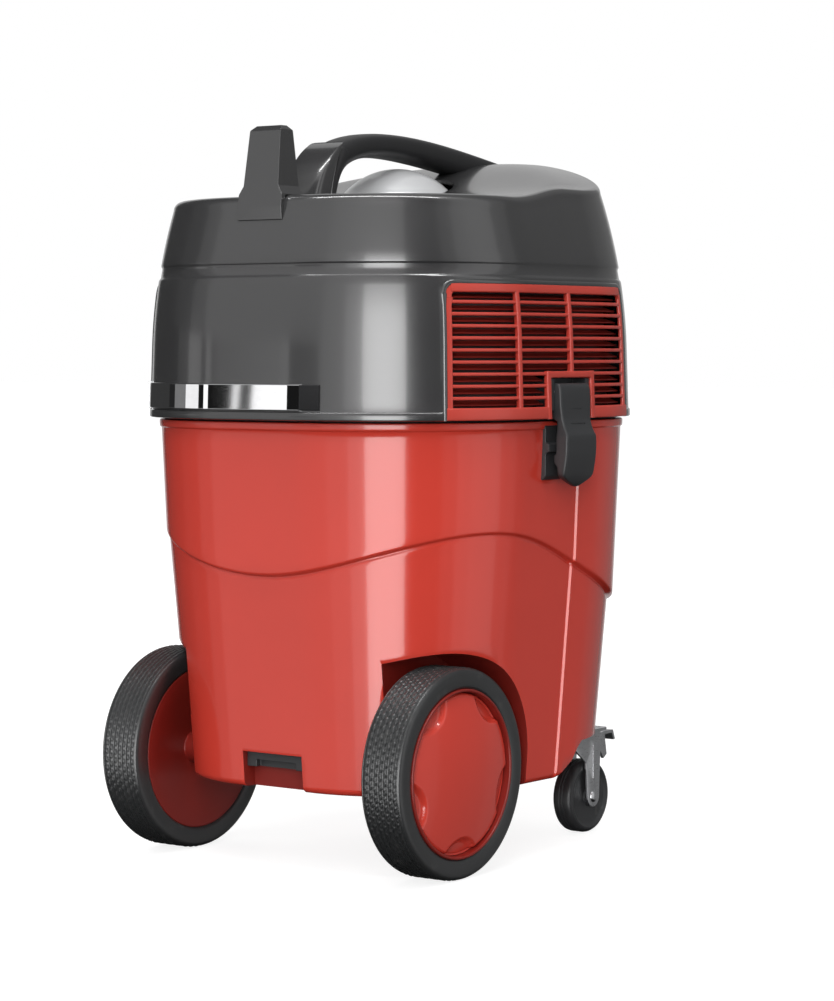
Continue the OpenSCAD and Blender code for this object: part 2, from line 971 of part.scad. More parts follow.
module brush_holders() {
    color("#caa24a")
        for (a = [90, 270])
            rotate(a)
                translate([13.2, -5, case_top + 73])
                    cube([24, 10, 10]);
}

// ---- Filter --------------------------------------------------------------------------

filter_low = 262;
filter_high = 428;
cage_high = seam_z - 14;
float_r = 24;

module filter_cage() {
    color("#38393c")
        difference() {
            translate([0, 0, filter_low + 10])
                cylinder(r = 40, h = cage_high - filter_low - 10);
            translate([0, 0, filter_low + 14])
                cylinder(r = 37, h = 200);
            for (a = [0 : 45 : 315], z = [filter_low + 24, filter_low + 72, filter_low + 116])
                rotate(a)
                    translate([30, -9, z])
                        cube([20, 18, z > 370 ? 26 : 36]);
        }
}

module pleated_filter() {
    pleats = 40;
    color("#e9e6dc")
        translate([0, 0, filter_low + 10])
            difference() {
                linear_extrude(filter_high - filter_low - 14)
                    polygon([for (i = [0 : 2 * pleats - 1])
                        let (a = i * 180 / pleats, r = i % 2 == 0 ? 88 : 76) r * [cos(a), sin(a)]]);
                translate([0, 0, -1])
                    cylinder(r = 58.4, h = 200);
            }
}

module filter_clamp() {
    color("#38393c") {
        translate([0, 0, filter_low])
            cylinder(r = 88, h = 9.8);
        translate([-6, -26, filter_low - 14])
            cube([12, 52, 14]);
    }
}

module float_ball() {
    color("#f0efe9")
        translate([0, 0, filter_low + 14.2 + float_r])
            sphere(r = float_r);
}

module cover_screws() {
    color("#b9bcc0")
        for (a = [45 : 90 : 315])
            rotate(a)
                translate([84, 0, seam_z - 4]) {
                    cylinder(r = 2.1, h = 12);
                    translate([0, 0, 3.6])
                        cylinder(r = 4, h = 2.4);
                }
}

module right() {
    mirror([1, 0, 0])
        children();
}

container();
inlet_fitting();
inlet_deflector();
rear_axle();
axle_clips();
axle_bridge();
tyre();  // tyre_left
right() tyre();  // tyre_right
rim();  // rim_left
right() rim();  // rim_right
hub_cap();  // hub_cap_left
right() hub_cap();  // hub_cap_right
caster_plate();  // caster_plate_left
right() caster_plate();  // caster_plate_right
caster_fork();  // caster_fork_left
right() caster_fork();  // caster_fork_right
caster_rivet();  // caster_rivet_left
right() caster_rivet();  // caster_rivet_right
caster_wheel();  // caster_wheel_left
right() caster_wheel();  // caster_wheel_right
brake_pedal();  // brake_pedal_left
right() brake_pedal();  // brake_pedal_right
latch_keeper();  // latch_keeper_left
right() latch_keeper();  // latch_keeper_right
latch();  // latch_left
right() latch();  // latch_right
latch_pin();  // latch_pin_left
right() latch_pin();  // latch_pin_right
head_cover();
head_base();
head_gasket();
vent_grille();  // vent_grille_left
right() vent_grille();  // vent_grille_right
trim_strip();
strip_end_cap();
cable_post();
handle_root();
handle_grip();
top_dome();
control_panel();
selector_knob();
suction_dial();
socket_body();
socket_flap();
flap_pin();
cable_gland();
control_switches();
motor_hood();
fan_case();
motor_field();
motor_mounts();
motor_bearings();
armature();
impeller();
brush_holders();
filter_cage();
pleated_filter();
filter_clamp();
float_ball();
cover_screws();
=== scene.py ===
import json
import math

import bmesh
import bpy
import numpy as np
from mathutils import Matrix, Vector


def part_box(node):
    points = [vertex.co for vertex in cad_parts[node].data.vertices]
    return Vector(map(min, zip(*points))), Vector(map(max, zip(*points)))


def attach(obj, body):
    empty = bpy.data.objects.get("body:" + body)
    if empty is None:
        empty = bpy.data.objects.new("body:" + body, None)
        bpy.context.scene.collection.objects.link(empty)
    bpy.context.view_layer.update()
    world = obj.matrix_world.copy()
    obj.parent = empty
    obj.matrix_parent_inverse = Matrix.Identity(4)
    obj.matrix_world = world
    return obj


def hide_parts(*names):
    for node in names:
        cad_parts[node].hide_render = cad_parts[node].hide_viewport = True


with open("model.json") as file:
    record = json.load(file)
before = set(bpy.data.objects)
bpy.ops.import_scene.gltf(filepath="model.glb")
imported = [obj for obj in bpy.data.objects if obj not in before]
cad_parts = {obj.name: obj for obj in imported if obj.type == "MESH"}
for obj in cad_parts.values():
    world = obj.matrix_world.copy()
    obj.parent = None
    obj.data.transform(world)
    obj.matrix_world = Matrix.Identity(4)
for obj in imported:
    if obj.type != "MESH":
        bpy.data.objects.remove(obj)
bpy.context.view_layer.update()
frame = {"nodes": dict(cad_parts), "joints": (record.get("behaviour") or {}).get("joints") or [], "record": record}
nodes = frame["nodes"]
joints = {joint["name"]: joint for joint in frame["joints"]}


def in_scene(name, data):
    obj = bpy.data.objects.new(name, data)
    bpy.context.scene.collection.objects.link(obj)
    return obj


# ---- Shader nodes ----


def wire(tree, node, inputs):
    """Sets a node's inputs by name or number: a socket is linked, anything else is a constant."""
    for key, value in inputs.items():
        if isinstance(value, bpy.types.NodeSocket):
            tree.links.new(value, node.inputs[key])
        else:
            node.inputs[key].default_value = value
    return node


def add_node(tree, kind, inputs=None, **settings):
    node = tree.nodes.new("ShaderNode" + kind)
    for key, value in settings.items():
        setattr(node, key, value)
    return wire(tree, node, inputs or {})


def new_material(name):
    material = bpy.data.materials.new(name)
    material.use_nodes = True
    return material, material.node_tree, material.node_tree.nodes["Principled BSDF"]


# ---- Camera and stage ----

VIEW_AZIMUTH = math.radians(216.9)
VIEW_DISTANCE = 2.941
VIEW_HEIGHT = 0.4963
VIEW_AIM = (-0.0204, -0.0153, 0.345)
LENS = 105.7
LIGHT_AIM_Z = 0.4


def bearing(azimuth):
    """The level direction from the machine towards a viewer at an azimuth."""
    return Vector((math.sin(azimuth), -math.cos(azimuth), 0))


def make_camera():
    camera = bpy.data.cameras.new("camera")
    camera.lens = LENS
    obj = in_scene("camera", camera)
    obj.location = bearing(VIEW_AZIMUTH) * VIEW_DISTANCE + Vector((0, 0, VIEW_HEIGHT))
    obj.rotation_euler = (obj.location - Vector(VIEW_AIM)).to_track_quat("Z", "Y").to_euler()
    bpy.context.scene.camera = obj


def soft_box(name, left, distance, size, power, low, reflected):
    """A soft box at a bearing, in degrees to the left of the camera's, whose lower edge is at a height."""
    light = bpy.data.lights.new(name, "AREA")
    light.shape = "RECTANGLE"
    light.size, light.size_y = size
    light.energy = power
    obj = in_scene(name, light)
    place = bearing(VIEW_AZIMUTH - math.radians(left)) * distance + Vector((0, 0, low + size[1] / 2))
    obj.location = place
    obj.rotation_euler = (place - Vector((0, 0, LIGHT_AIM_Z))).to_track_quat("Z", "Y").to_euler()
    obj.visible_glossy = reflected


# The studio's panels as the machine sees them, from straight behind it round by the right:
# where each panel starts, in degrees to the left of the camera's bearing, and how bright it is
PANELS = [
    (-180, 0.50), (-160, 0.20), (-118, 0.16), (-95, 0.32), (-80, 0.74), (-56, 0.62), (-45, 0.30),
    (-34, 0.08), (-8, 5.5), (20, 1.4), (32, 0.78), (48, 0.58), (86, 0.30), (100, 0.09), (120, 0.04),
    (160, 0.50),
]
# Narrow lit strips and flags a little above the floor, which only upright plated parts pick up
STRIPS = [
    (50, 0.01), (71.8, 1.2), (76.55, 0.01), (76.79, 1.0), (76.93, 0.01), (80.0, 1.2), (83.8, 0.01),
    (88.3, 1.0), (100.8, 0.2), (113, 0.02),
]
STRIPS_TURN = (50, 120)
STRIPS_HEIGHT = (0.004, 0.075)
# Below this the machine sees the dark under its own body
UNDERSIDE = -0.42
# Above this the reflected panels fade down to a level, over a height of one over the rate
SHADE_FROM = 0.20
SHADE_RATE = 6.5
SHADE_LEVEL = 0.7


def make_studio_walls():
    """White for the camera; for reflections and light, a ring of lit panels and dark flags."""
    world = bpy.data.worlds.new("studio")
    bpy.context.scene.world = world
    world.use_nodes = True
    tree = world.node_tree

    def maths(operation, first, second):
        return add_node(tree, "Math", {0: first, 1: second}, operation=operation).outputs["Value"]

    def between(value, limits):
        low, high = limits
        return maths("MULTIPLY", maths("GREATER_THAN", value, low), maths("LESS_THAN", value, high))

    def steps(angle, panels):
        """Steps of brightness round the machine, from a bearing in radians."""
        total = panels[0][1]
        for (start, level), (_, before) in zip(panels[1:], panels):
            past = maths("GREATER_THAN", angle, math.radians(start))
            total = maths("ADD", maths("MULTIPLY", past, level - before), total)
        return total

    direction = add_node(tree, "TexCoord").outputs["Generated"]
    turn = add_node(tree, "VectorRotate", {"Vector": direction, "Angle": -VIEW_AZIMUTH},
                    rotation_type="Z_AXIS")
    split = add_node(tree, "SeparateXYZ", {"Vector": turn.outputs["Vector"]})
    height = split.outputs["Z"]
    # Once turned, the camera's bearing is -Y and its left is -X
    left = maths("MULTIPLY", split.outputs["X"], -1.0)
    ahead = maths("MULTIPLY", split.outputs["Y"], -1.0)
    angle = maths("ARCTAN2", left, ahead)
    turned_to = between(angle, [math.radians(limit) for limit in STRIPS_TURN])
    low_strips = maths("MULTIPLY", between(height, STRIPS_HEIGHT), turned_to)
    band = add_node(tree, "Mix", {"Factor": low_strips, "A": steps(angle, PANELS), "B": steps(angle, STRIPS)})
    level = band.outputs["Result"]
    # The brightest panel's top is dimmed for reflections, so that it doesn't glare off the roof
    rays = add_node(tree, "LightPath")
    rise = maths("MULTIPLY", maths("SUBTRACT", height, SHADE_FROM), SHADE_RATE)
    high = maths("MINIMUM", maths("MAXIMUM", rise, 0.0), 1.0)
    excess = maths("MAXIMUM", maths("SUBTRACT", level, SHADE_LEVEL), 0.0)
    dimming = maths("MULTIPLY", maths("MULTIPLY", excess, high), rays.outputs["Is Glossy Ray"])
    lit = maths("GREATER_THAN", height, UNDERSIDE)
    walls = add_node(tree, "Background", {"Color": maths("SUBTRACT", level, dimming), "Strength": lit})
    backdrop = wire(tree, tree.nodes["Background"], {"Color": (1.0, 1.0, 1.0, 1)})
    choice = add_node(tree, "MixShader", {"Fac": rays.outputs["Is Camera Ray"], 1: walls.outputs[0],
                                          2: backdrop.outputs[0]})
    wire(tree, tree.nodes["World Output"], {"Surface": choice.outputs["Shader"]})


def make_floor():
    """A pale floor that stays white far away and takes only soft shadows near the machine."""
    half = 30
    glow = 0.84
    mesh = bpy.data.meshes.new("floor")
    corners = [(-half, -half, 0), (half, -half, 0), (half, half, 0), (-half, half, 0)]
    mesh.from_pydata(corners, [], [(0, 1, 2, 3)])
    obj = in_scene("floor", mesh)
    obj.visible_glossy = False
    material, tree, surface = new_material("floor_white")
    seen = add_node(tree, "LightPath").outputs["Is Camera Ray"]
    strength = add_node(tree, "Math", {0: seen, 1: glow}, operation="MULTIPLY").outputs["Value"]
    wire(tree, surface, {"Base Color": (0.26, 0.26, 0.26, 1), "Roughness": 0.9,
                         "Emission Color": (1, 1, 1, 1), "Emission Strength": strength})
    mesh.materials.append(material)


make_camera()
make_studio_walls()
soft_box("overhead", 20, 0.5, (2.0, 0.1), 14, low=2.0, reflected=True)
soft_box("front_fill", 150, 3.2, (2.2, 2.0), 75, low=0.4, reflected=False)
soft_box("side_fill", -120, 3.2, (1.4, 2.0), 14, low=0.4, reflected=False)
make_floor()
bpy.context.scene.view_settings.view_transform = "Standard"
bpy.context.scene.view_settings.look = "None"

# ---- Materials ----

GLOSS_SWING = 0.03
DUST = (0.42, 0.40, 0.37, 1)


def moulded(name, colour, roughness, coat=0.0, metallic=0.0, mottle=0.06, grain=2600.0, grain_depth=0.02,
            wave_depth=0.0003, specular=0.5, scuff=0.0, coat_roughness=0.06):
    """A moulded surface: slow colour drift, uneven gloss, a fine grain and a faint sink-mark waviness."""
    material, tree, surface = new_material(name)
    place = add_node(tree, "TexCoord").outputs["Object"]

    def noise(scale, detail, **more):
        inputs = {"Vector": place, "Scale": scale, "Detail": detail, **more}
        return add_node(tree, "TexNoise", inputs).outputs["Fac"]

    slow = noise(9.0, 4.0)
    ramp = add_node(tree, "ValToRGB", {"Fac": slow})
    for element, position, share in zip(ramp.color_ramp.elements, (0.3, 0.7), (1 - mottle, 1 + mottle)):
        element.position = position
        element.color = (*[c * share for c in colour], 1)
    tint = ramp.outputs["Color"]
    if scuff > 0:
        spots = add_node(tree, "MapRange", {"Value": noise(60.0, 8.0, Roughness=0.7), "From Min": 0.58,
                                            "From Max": 0.75, "To Max": scuff}).outputs["Result"]
        dusty = add_node(tree, "Mix", {"Factor": spots, "A": tint, "B": DUST}, data_type="RGBA")
        tint = dusty.outputs["Result"]
    gloss = add_node(tree, "MapRange", {"Value": slow, "To Min": max(0.02, roughness - GLOSS_SWING),
                                        "To Max": roughness + GLOSS_SWING})
    sink = add_node(tree, "Bump", {"Height": noise(14.0, 1.0), "Distance": wave_depth, "Strength": 0.35})
    fine = add_node(tree, "Bump", {"Height": noise(grain, 2.0), "Distance": 0.0002, "Strength": grain_depth,
                                   "Normal": sink.outputs["Normal"]})
    wire(tree, surface, {"Base Color": tint, "Roughness": gloss.outputs["Result"], "Metallic": metallic,
                         "Coat Weight": coat, "Coat Roughness": coat_roughness,
                         "Specular IOR Level": specular, "Normal": fine.outputs["Normal"]})
    return material


def drawn_metal(name, colour, roughness, stretch, spangle=0.0, depth=0.25, swing=0.08):
    """Bare or plated metal with fine lines along one axis and a faint zinc bloom."""
    material, tree, surface = new_material(name)
    place = add_node(tree, "TexCoord").outputs["Object"]
    along = add_node(tree, "Mapping", {"Vector": place, "Scale": stretch}).outputs["Vector"]
    lines = add_node(tree, "TexNoise", {"Vector": along, "Scale": 120.0, "Detail": 6.0}).outputs["Fac"]
    bloom = add_node(tree, "TexVoronoi", {"Vector": place, "Scale": 160.0}).outputs["Distance"]
    mixed = add_node(tree, "Math", {0: bloom, 1: 0.35, 2: lines}, operation="MULTIPLY_ADD").outputs["Value"]
    ramp = add_node(tree, "ValToRGB", {"Fac": mixed})
    ramp.color_ramp.elements[0].color = (*[c * (0.86 - spangle) for c in colour], 1)
    ramp.color_ramp.elements[1].color = (*colour, 1)
    gloss = add_node(tree, "MapRange", {"Value": lines, "To Min": max(0.01, roughness - swing),
                                        "To Max": roughness + swing})
    bump = add_node(tree, "Bump", {"Height": lines, "Distance": 0.00015, "Strength": depth})
    wire(tree, surface, {"Base Color": ramp.outputs["Color"], "Roughness": gloss.outputs["Result"],
                         "Metallic": 1.0, "Normal": bump.outputs["Normal"]})
    return material


MATERIALS = {
    "red_shell": moulded("red_gloss", (0.62, 0.050, 0.032), 0.17, coat=0.5, mottle=0.03),
    # A darker red that paints shade where shade falls: the wheel pockets' faces, the back wall of the rear
    # cut-out, the louvres behind the vent slots, and the wheel rims, whose slot this is
    "red_wheel": moulded("red_wheel_moulding", (0.22, 0.016, 0.011), 0.34),
    "grille_red": moulded("red_satin", (0.50, 0.050, 0.034), 0.26, coat=0.2, mottle=0.04),
    "knob_red": moulded("red_knob", (0.56, 0.055, 0.040), 0.3, mottle=0.04),
    "head_plastic": moulded("anthracite_gloss", (0.031, 0.031, 0.032), 0.24, coat=0.9, mottle=0.04,
                            specular=0.9, coat_roughness=0.10),
    "black_plastic": moulded("black_grained", (0.030, 0.031, 0.033), 0.40, mottle=0.1, grain=1500.0,
                             grain_depth=0.22, wave_depth=0.0004),
    "grip": moulded("soft_touch_black", (0.014, 0.014, 0.015), 0.42, mottle=0.12, grain=1800.0,
                    grain_depth=0.3, wave_depth=0.0004),
    "silver_plastic": moulded("silver_lacquer", (0.60, 0.605, 0.615), 0.30, metallic=0.35, coat=0.3,
                              mottle=0.04, grain=5200.0, grain_depth=0.12),
    "chrome_trim": drawn_metal("chrome_plate", (0.90, 0.90, 0.91), 0.024, (1, 1, 30), depth=0.004,
                               swing=0.006),
    "tyre": moulded("tyre_rubber", (0.026, 0.027, 0.028), 0.33, mottle=0.16, grain=1300.0, grain_depth=0.3,
                    specular=0.9, scuff=0.08),
    "caster_tread": moulded("caster_rubber", (0.032, 0.033, 0.035), 0.42, mottle=0.16, grain=1300.0,
                            grain_depth=0.3, scuff=0.12),
    "zinc_steel": drawn_metal("zinc_plate", (0.80, 0.81, 0.83), 0.30, (1, 1, 12), spangle=0.12),
    "seal": moulded("black_rubber", (0.014, 0.014, 0.015), 0.6, mottle=0.15, grain=1500.0, grain_depth=0.3,
                    wave_depth=0.0004, specular=0.2),
    "motor_metal": drawn_metal("pressed_metal", (0.62, 0.63, 0.64), 0.34, (12, 12, 1)),
    "copper": drawn_metal("wound_copper", (0.62, 0.30, 0.13), 0.32, (1, 1, 40)),
    "filter_paper": moulded("pleated_paper", (0.74, 0.71, 0.62), 0.85, mottle=0.08, grain=900.0,
                            grain_depth=0.5, wave_depth=0.0004, specular=0.2),
    "pale_plastic": moulded("pale_moulding", (0.72, 0.70, 0.64), 0.42, mottle=0.05, wave_depth=0.0004),
}

# ---- Mesh helpers ----


def shade(mesh, angle):
    mesh.shade_smooth()
    mesh.set_sharp_from_angle(angle=math.radians(angle))


def new_object(name, verts, faces, slot, smooth_angle=35.0):
    mesh = bpy.data.meshes.new(name)
    mesh.from_pydata([tuple(v) for v in verts], [], faces)
    mesh.validate()
    mesh.materials.append(MATERIALS[slot])
    bm = bmesh.new()
    bm.from_mesh(mesh)
    bmesh.ops.remove_doubles(bm, verts=bm.verts, dist=1e-6)
    bmesh.ops.recalc_face_normals(bm, faces=bm.faces)
    bm.to_mesh(mesh)
    bm.free()
    shade(mesh, smooth_angle)
    return in_scene(name, mesh)


def finish_piece(obj, body, slot, *replaced):
    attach(obj, body)
    if replaced:
        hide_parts(*replaced)


def finish_pair(obj, body, slot, node):
    """Places a left-hand piece, and its mirror image across the machine's middle plane."""
    other = in_scene(obj.name.replace("_left", "_right"), obj.data.copy())
    other.data.transform(Matrix.Scale(-1, 4, (1, 0, 0)))
    other.data.flip_normals()
    finish_piece(obj, body + "_left", slot, node + "_left")
    finish_piece(other, body + "_right", slot, node + "_right")


def apply_modifiers(obj):
    bpy.context.view_layer.update()
    graph = bpy.context.evaluated_depsgraph_get()
    mesh = bpy.data.meshes.new_from_object(obj.evaluated_get(graph))
    obj.modifiers.clear()
    old = obj.data
    obj.data = mesh
    bpy.data.meshes.remove(old)
    shade(mesh, 35.0)


def boolean(obj, tool, operation="DIFFERENCE"):
    modifier = obj.modifiers.new("cut", "BOOLEAN")
    modifier.operation = operation
    modifier.solver = "EXACT"
    modifier.material_mode = "TRANSFER"
    modifier.object = tool
    apply_modifiers(obj)
    bpy.data.objects.remove(tool)


def bevel(obj, width, segments, angle):
    modifier = obj.modifiers.new("edge_rounding", "BEVEL")
    modifier.width = width
    modifier.segments = segments
    modifier.limit_method = "ANGLE"
    modifier.angle_limit = math.radians(angle)
    modifier.harden_normals = False
    modifier.miter_outer = "MITER_ARC"


def flatten_faces(obj):
    """Keeps the shading of large flat faces flat beside their rounded edges."""
    flat = obj.modifiers.new("flat_faces", "WEIGHTED_NORMAL")
    flat.weight = 100
    flat.keep_sharp = True


def polar(radius, degrees):
    angle = math.radians(degrees)
    return radius * math.cos(angle), radius * math.sin(angle)


def arc(centre, radius, angles):
    return [(centre[0] + u, centre[1] + v) for u, v in (polar(radius, angle) for angle in angles)]


def around(turns):
    return [2 * math.pi * j / turns for j in range(turns)]


def ring_faces(rows, turns, wrap_rows=False):
    """Faces between closed rings of points, and round from the last ring to the first when wrapped."""
    faces = []
    for i in range(rows if wrap_rows else rows - 1):
        for j in range(turns):
            here, after = i * turns, ((i + 1) % rows) * turns
            faces.append((here + j, here + (j + 1) % turns, after + (j + 1) % turns, after + j))
    return faces


def capped(name, verts, turns, slot, smooth_angle=35.0):
    """A closed body from rings of points, with a flat face over its first and its last ring."""
    faces = ring_faces(len(verts) // turns, turns)
    faces.append(tuple(range(turns)))
    faces.append(tuple(reversed(range(len(verts) - turns, len(verts)))))
    return new_object(name, verts, faces, slot, smooth_angle)


def domed(name, verts, turns, slot, smooth_angle):
    """A closed body from one point and the rings below it, with a flat face over the last ring."""
    rings = (len(verts) - 1) // turns
    faces = [(0, 1 + j, 1 + (j + 1) % turns) for j in range(turns)]
    faces += [tuple(1 + v for v in face) for face in ring_faces(rings, turns)]
    faces.append(tuple(1 + (rings - 1) * turns + j for j in range(turns)))
    return new_object(name, verts, faces, slot, smooth_angle)


def prism(name, outline, axis, ends, slot="red_shell"):
    """An outline of 2-D points extruded between two places along an axis."""
    place = {
        "x": lambda u, v, w: (w, u, v),
        "y": lambda u, v, w: (u, w, v),
        "z": lambda u, v, w: (u, v, w),
    }[axis]
    n = len(outline)
    verts = [place(u, v, end) for end in sorted(ends) for u, v in outline]
    faces = [tuple(range(n)), tuple(reversed(range(n, 2 * n)))]
    faces += [(i, (i + 1) % n, n + (i + 1) % n, n + i) for i in range(n)]
    return new_object(name, verts, faces, slot)


def box_tool(xs, ys, zs, slot="red_shell"):
    (x0, x1), (y0, y1) = sorted(xs), ys
    return prism("box_tool", [(x0, y0), (x1, y0), (x1, y1), (x0, y1)], "z", zs, slot)


def rod_tool(start, end, radius, steps=64, slot="red_shell"):
    start, end = Vector(start), Vector(end)
    turn = (end - start).to_track_quat("Z", "Y")
    verts = [centre + turn @ Vector((radius * math.cos(a), radius * math.sin(a), 0))
             for centre in (start, end) for a in around(steps)]
    faces = [tuple(reversed(range(steps))), tuple(range(steps, 2 * steps))]
    faces += [(i, (i + 1) % steps, steps + (i + 1) % steps, steps + i) for i in range(steps)]
    return new_object("rod_tool", verts, faces, slot)


def rounded_outline(half_u, half_v, radius, steps, centre=(0.0, 0.0)):
    points = []
    for k, (su, sv) in enumerate(((1, 1), (-1, 1), (-1, -1), (1, -1))):
        middle = centre[0] + su * (half_u - radius), centre[1] + sv * (half_v - radius)
        points += arc(middle, radius, [90 * k + 90 * i / steps for i in range(steps + 1)])
    return points


def smooth_step(t):
    t = np.clip(t, 0.0, 1.0)
    return t * t * (3 - 2 * t)


# ---- The plan outline shared by the container and the head ----

CORE = (0.043, 0.054)
SEAM_Z = 0.430
RIM_Z = 0.428
FLOOR_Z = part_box("container")[0].z
HEAD_REFERENCE = 0.168
# Where each side wall has its upright crease, how far the wall stands proud in front of it, and over
# what width it steps out
CREASE_Y = -0.030
CREASE_STEP = 0.0022
CREASE_WIDTH = 0.00132


def low_radius(z):
    return 0.1477 + (z - 0.245) * 0.085


def upper_radius(z):
    return 0.1577 + (z - 0.345) * 0.045


def head_radius(z):
    return 0.1715 - 0.033 * (z - SEAM_Z) - 0.94 * np.maximum(0.0, z - 0.5) ** 2


def outline_columns(corner_steps, long_steps, short_steps):
    """Base points on the core rectangle and outward normals, once round the outline."""
    columns = []
    cx, cy = CORE
    corners = [((cx, cy), 0), ((-cx, cy), 90), ((-cx, -cy), 180), ((cx, -cy), 270)]
    for k, (corner, start) in enumerate(corners):
        columns += [(*corner, *polar(1, start + 90 * i / corner_steps)) for i in range(corner_steps + 1)]
        after = corners[(k + 1) % 4][0]
        along_side = k % 2 == 1
        steps = long_steps if along_side else short_steps
        places = [i / steps for i in range(1, steps)]
        if along_side:
            crease = [(CREASE_Y + CREASE_WIDTH * i / 6 - corner[1]) / (after[1] - corner[1])
                      for i in (-9, -4, -3, 0, 3, 4, 9)]
            places = sorted([t for t in places if min(abs(t - c) for c in crease) > 0.01] + crease)
        for t in places:
            columns.append((corner[0] + (after[0] - corner[0]) * t, corner[1] + (after[1] - corner[1]) * t,
                            *polar(1, start + 90)))
    return np.array(columns)


def outline_at(u):
    """Base point and normal at a distance along the outline from the rear centre, towards -X."""
    cx, cy = CORE
    quarter = HEAD_REFERENCE * math.pi / 2
    if u < 0:
        bx, by, nx, ny = outline_at(-u)
        return -bx, by, -nx, ny
    if u <= cx:
        return -u, cy, 0.0, 1.0
    u -= cx
    if u <= quarter:
        a = u / HEAD_REFERENCE
        return -cx, cy, -math.sin(a), math.cos(a)
    u -= quarter
    if u <= 2 * cy:
        return -cx, cy - u, -1.0, 0.0
    u -= 2 * cy
    if u <= quarter:
        a = u / HEAD_REFERENCE
        return -cx, -cy, -math.cos(a), -math.sin(a)
    return -cx + (u - quarter), -cy, 0.0, -1.0


def on_head(u, z):
    """A point on the head's wall at a distance along the outline and a height."""
    bx, by, nx, ny = outline_at(u)
    r = float(head_radius(z))
    return Vector((bx + nx * r, by + ny * r, z))


def head_u_of_y(y):
    """Distance along the outline of the place on the side wall that lies at y."""
    cx, cy = CORE
    if y >= cy:
        return cx + HEAD_REFERENCE * math.acos(min(1.0, (y - cy) / HEAD_REFERENCE))
    if y >= -cy:
        return cx + HEAD_REFERENCE * math.pi / 2 + (cy - y)
    return cx + HEAD_REFERENCE * (math.pi / 2 + math.asin(min(1.0, (-cy - y) / HEAD_REFERENCE))) + 2 * cy


# ---- Container ----

WALL = 0.004
WHEEL_AXIS = Vector(joints["wheel_spin_right"]["pos_m"])
WHEEL_R = WHEEL_AXIS.z
TYRE_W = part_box("tyre_left")[1].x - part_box("tyre_left")[0].x
TRACK_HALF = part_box("tyre_left")[1].x
POCKET_R = WHEEL_R + 0.012
POCKET_X = TRACK_HALF - TYRE_W - 0.016
CASTER_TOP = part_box("caster_plate_left")[1].z
INLET_Z = 0.330
INLET_R = 0.0325
AXLE_HOLE_R = 0.00805
# A distance to either side that is beyond every piece, for tools that cut right through
OUTSIDE = 0.3


def wave_height(x, y):
    a = np.arctan2(x, y)
    return 0.281 + 0.0382 * np.cos(a) - 0.0226 * np.cos(2 * a) - 0.0132 * np.cos(3 * a)


# The step from the recessed lower skin out to the upper one: share of the step, height from the wave
WAVE_STEP = [(0.0, -0.0085), (0.0, -0.0056), (-0.05, -0.0048), (-0.22, -0.0039), (-0.30, -0.0030),
             (-0.28, -0.0022), (-0.05, -0.0014), (0.45, -0.0007), (0.80, -0.0001), (0.94, 0.0008),
             (1.0, 0.0022), (1.0, 0.0070)]
# The rim bead: how far it stands out, height below the rim
RIM_BEAD = [(0.0, -0.0085), (0.0004, -0.0078), (0.0014, -0.0072), (0.0018, -0.0064), (0.0018, -0.0016),
            (0.0013, -0.0004), (0.0, 0.0)]


def heights_between(first, last, steps):
    return [first + (last - first) * i / steps for i in range(1, steps)]


def container_profile(column, proud):
    """Radius and height up one column of the container's outer skin."""
    bx, by, nx, ny = column
    wave = float(wave_height(bx + nx * 0.155, by + ny * 0.155))
    edge = 0.007
    points = []
    for i in range(7):
        down, out = polar(edge, 15 * i)
        points.append((low_radius(FLOOR_Z + edge) - edge + out + proud * out / edge, FLOOR_Z + edge - down))
    for z in heights_between(points[-1][1], wave + WAVE_STEP[0][1], 12):
        points.append((low_radius(z) + proud, z))
    for share, dz in WAVE_STEP:
        z = wave + dz
        points.append((low_radius(z) + (upper_radius(z) - low_radius(z)) * share + proud, z))
    for z in heights_between(points[-1][1], RIM_Z + RIM_BEAD[0][1], 10):
        points.append((upper_radius(z) + proud, z))
    for out, dz in RIM_BEAD:
        points.append((upper_radius(RIM_Z + dz) + proud + out, RIM_Z + dz))
    return points


def closed_skin(name, columns, profiles):
    """A closed body from one profile per column, capped flat at the bottom and the top."""
    verts = []
    for row in zip(*profiles):
        verts += [(bx + nx * r, by + ny * r, z) for (bx, by, nx, ny), (r, z) in zip(columns, row)]
    return capped(name, verts, len(columns), "red_shell")


def pocket_outline(grow):
    """The wheel arch seen from the side: a half round over two straight sides."""
    radius = POCKET_R + grow
    arch = arc((WHEEL_AXIS.y, WHEEL_R), radius, range(0, 181, 4))
    return arch + [(WHEEL_AXIS.y - radius, -0.05), (WHEEL_AXIS.y + radius, -0.05)]


def front_rise(lift):
    """The front underside, seen from the side, that rises clear of the casters."""
    slope = [(-0.030, FLOOR_Z), (-0.056, 0.092), (-0.066, 0.104), (-0.074, CASTER_TOP),
             (-OUTSIDE, CASTER_TOP)]
    return [(y, z + lift) for y, z in slope] + [(-OUTSIDE, 0.0), (-0.030, 0.0)]


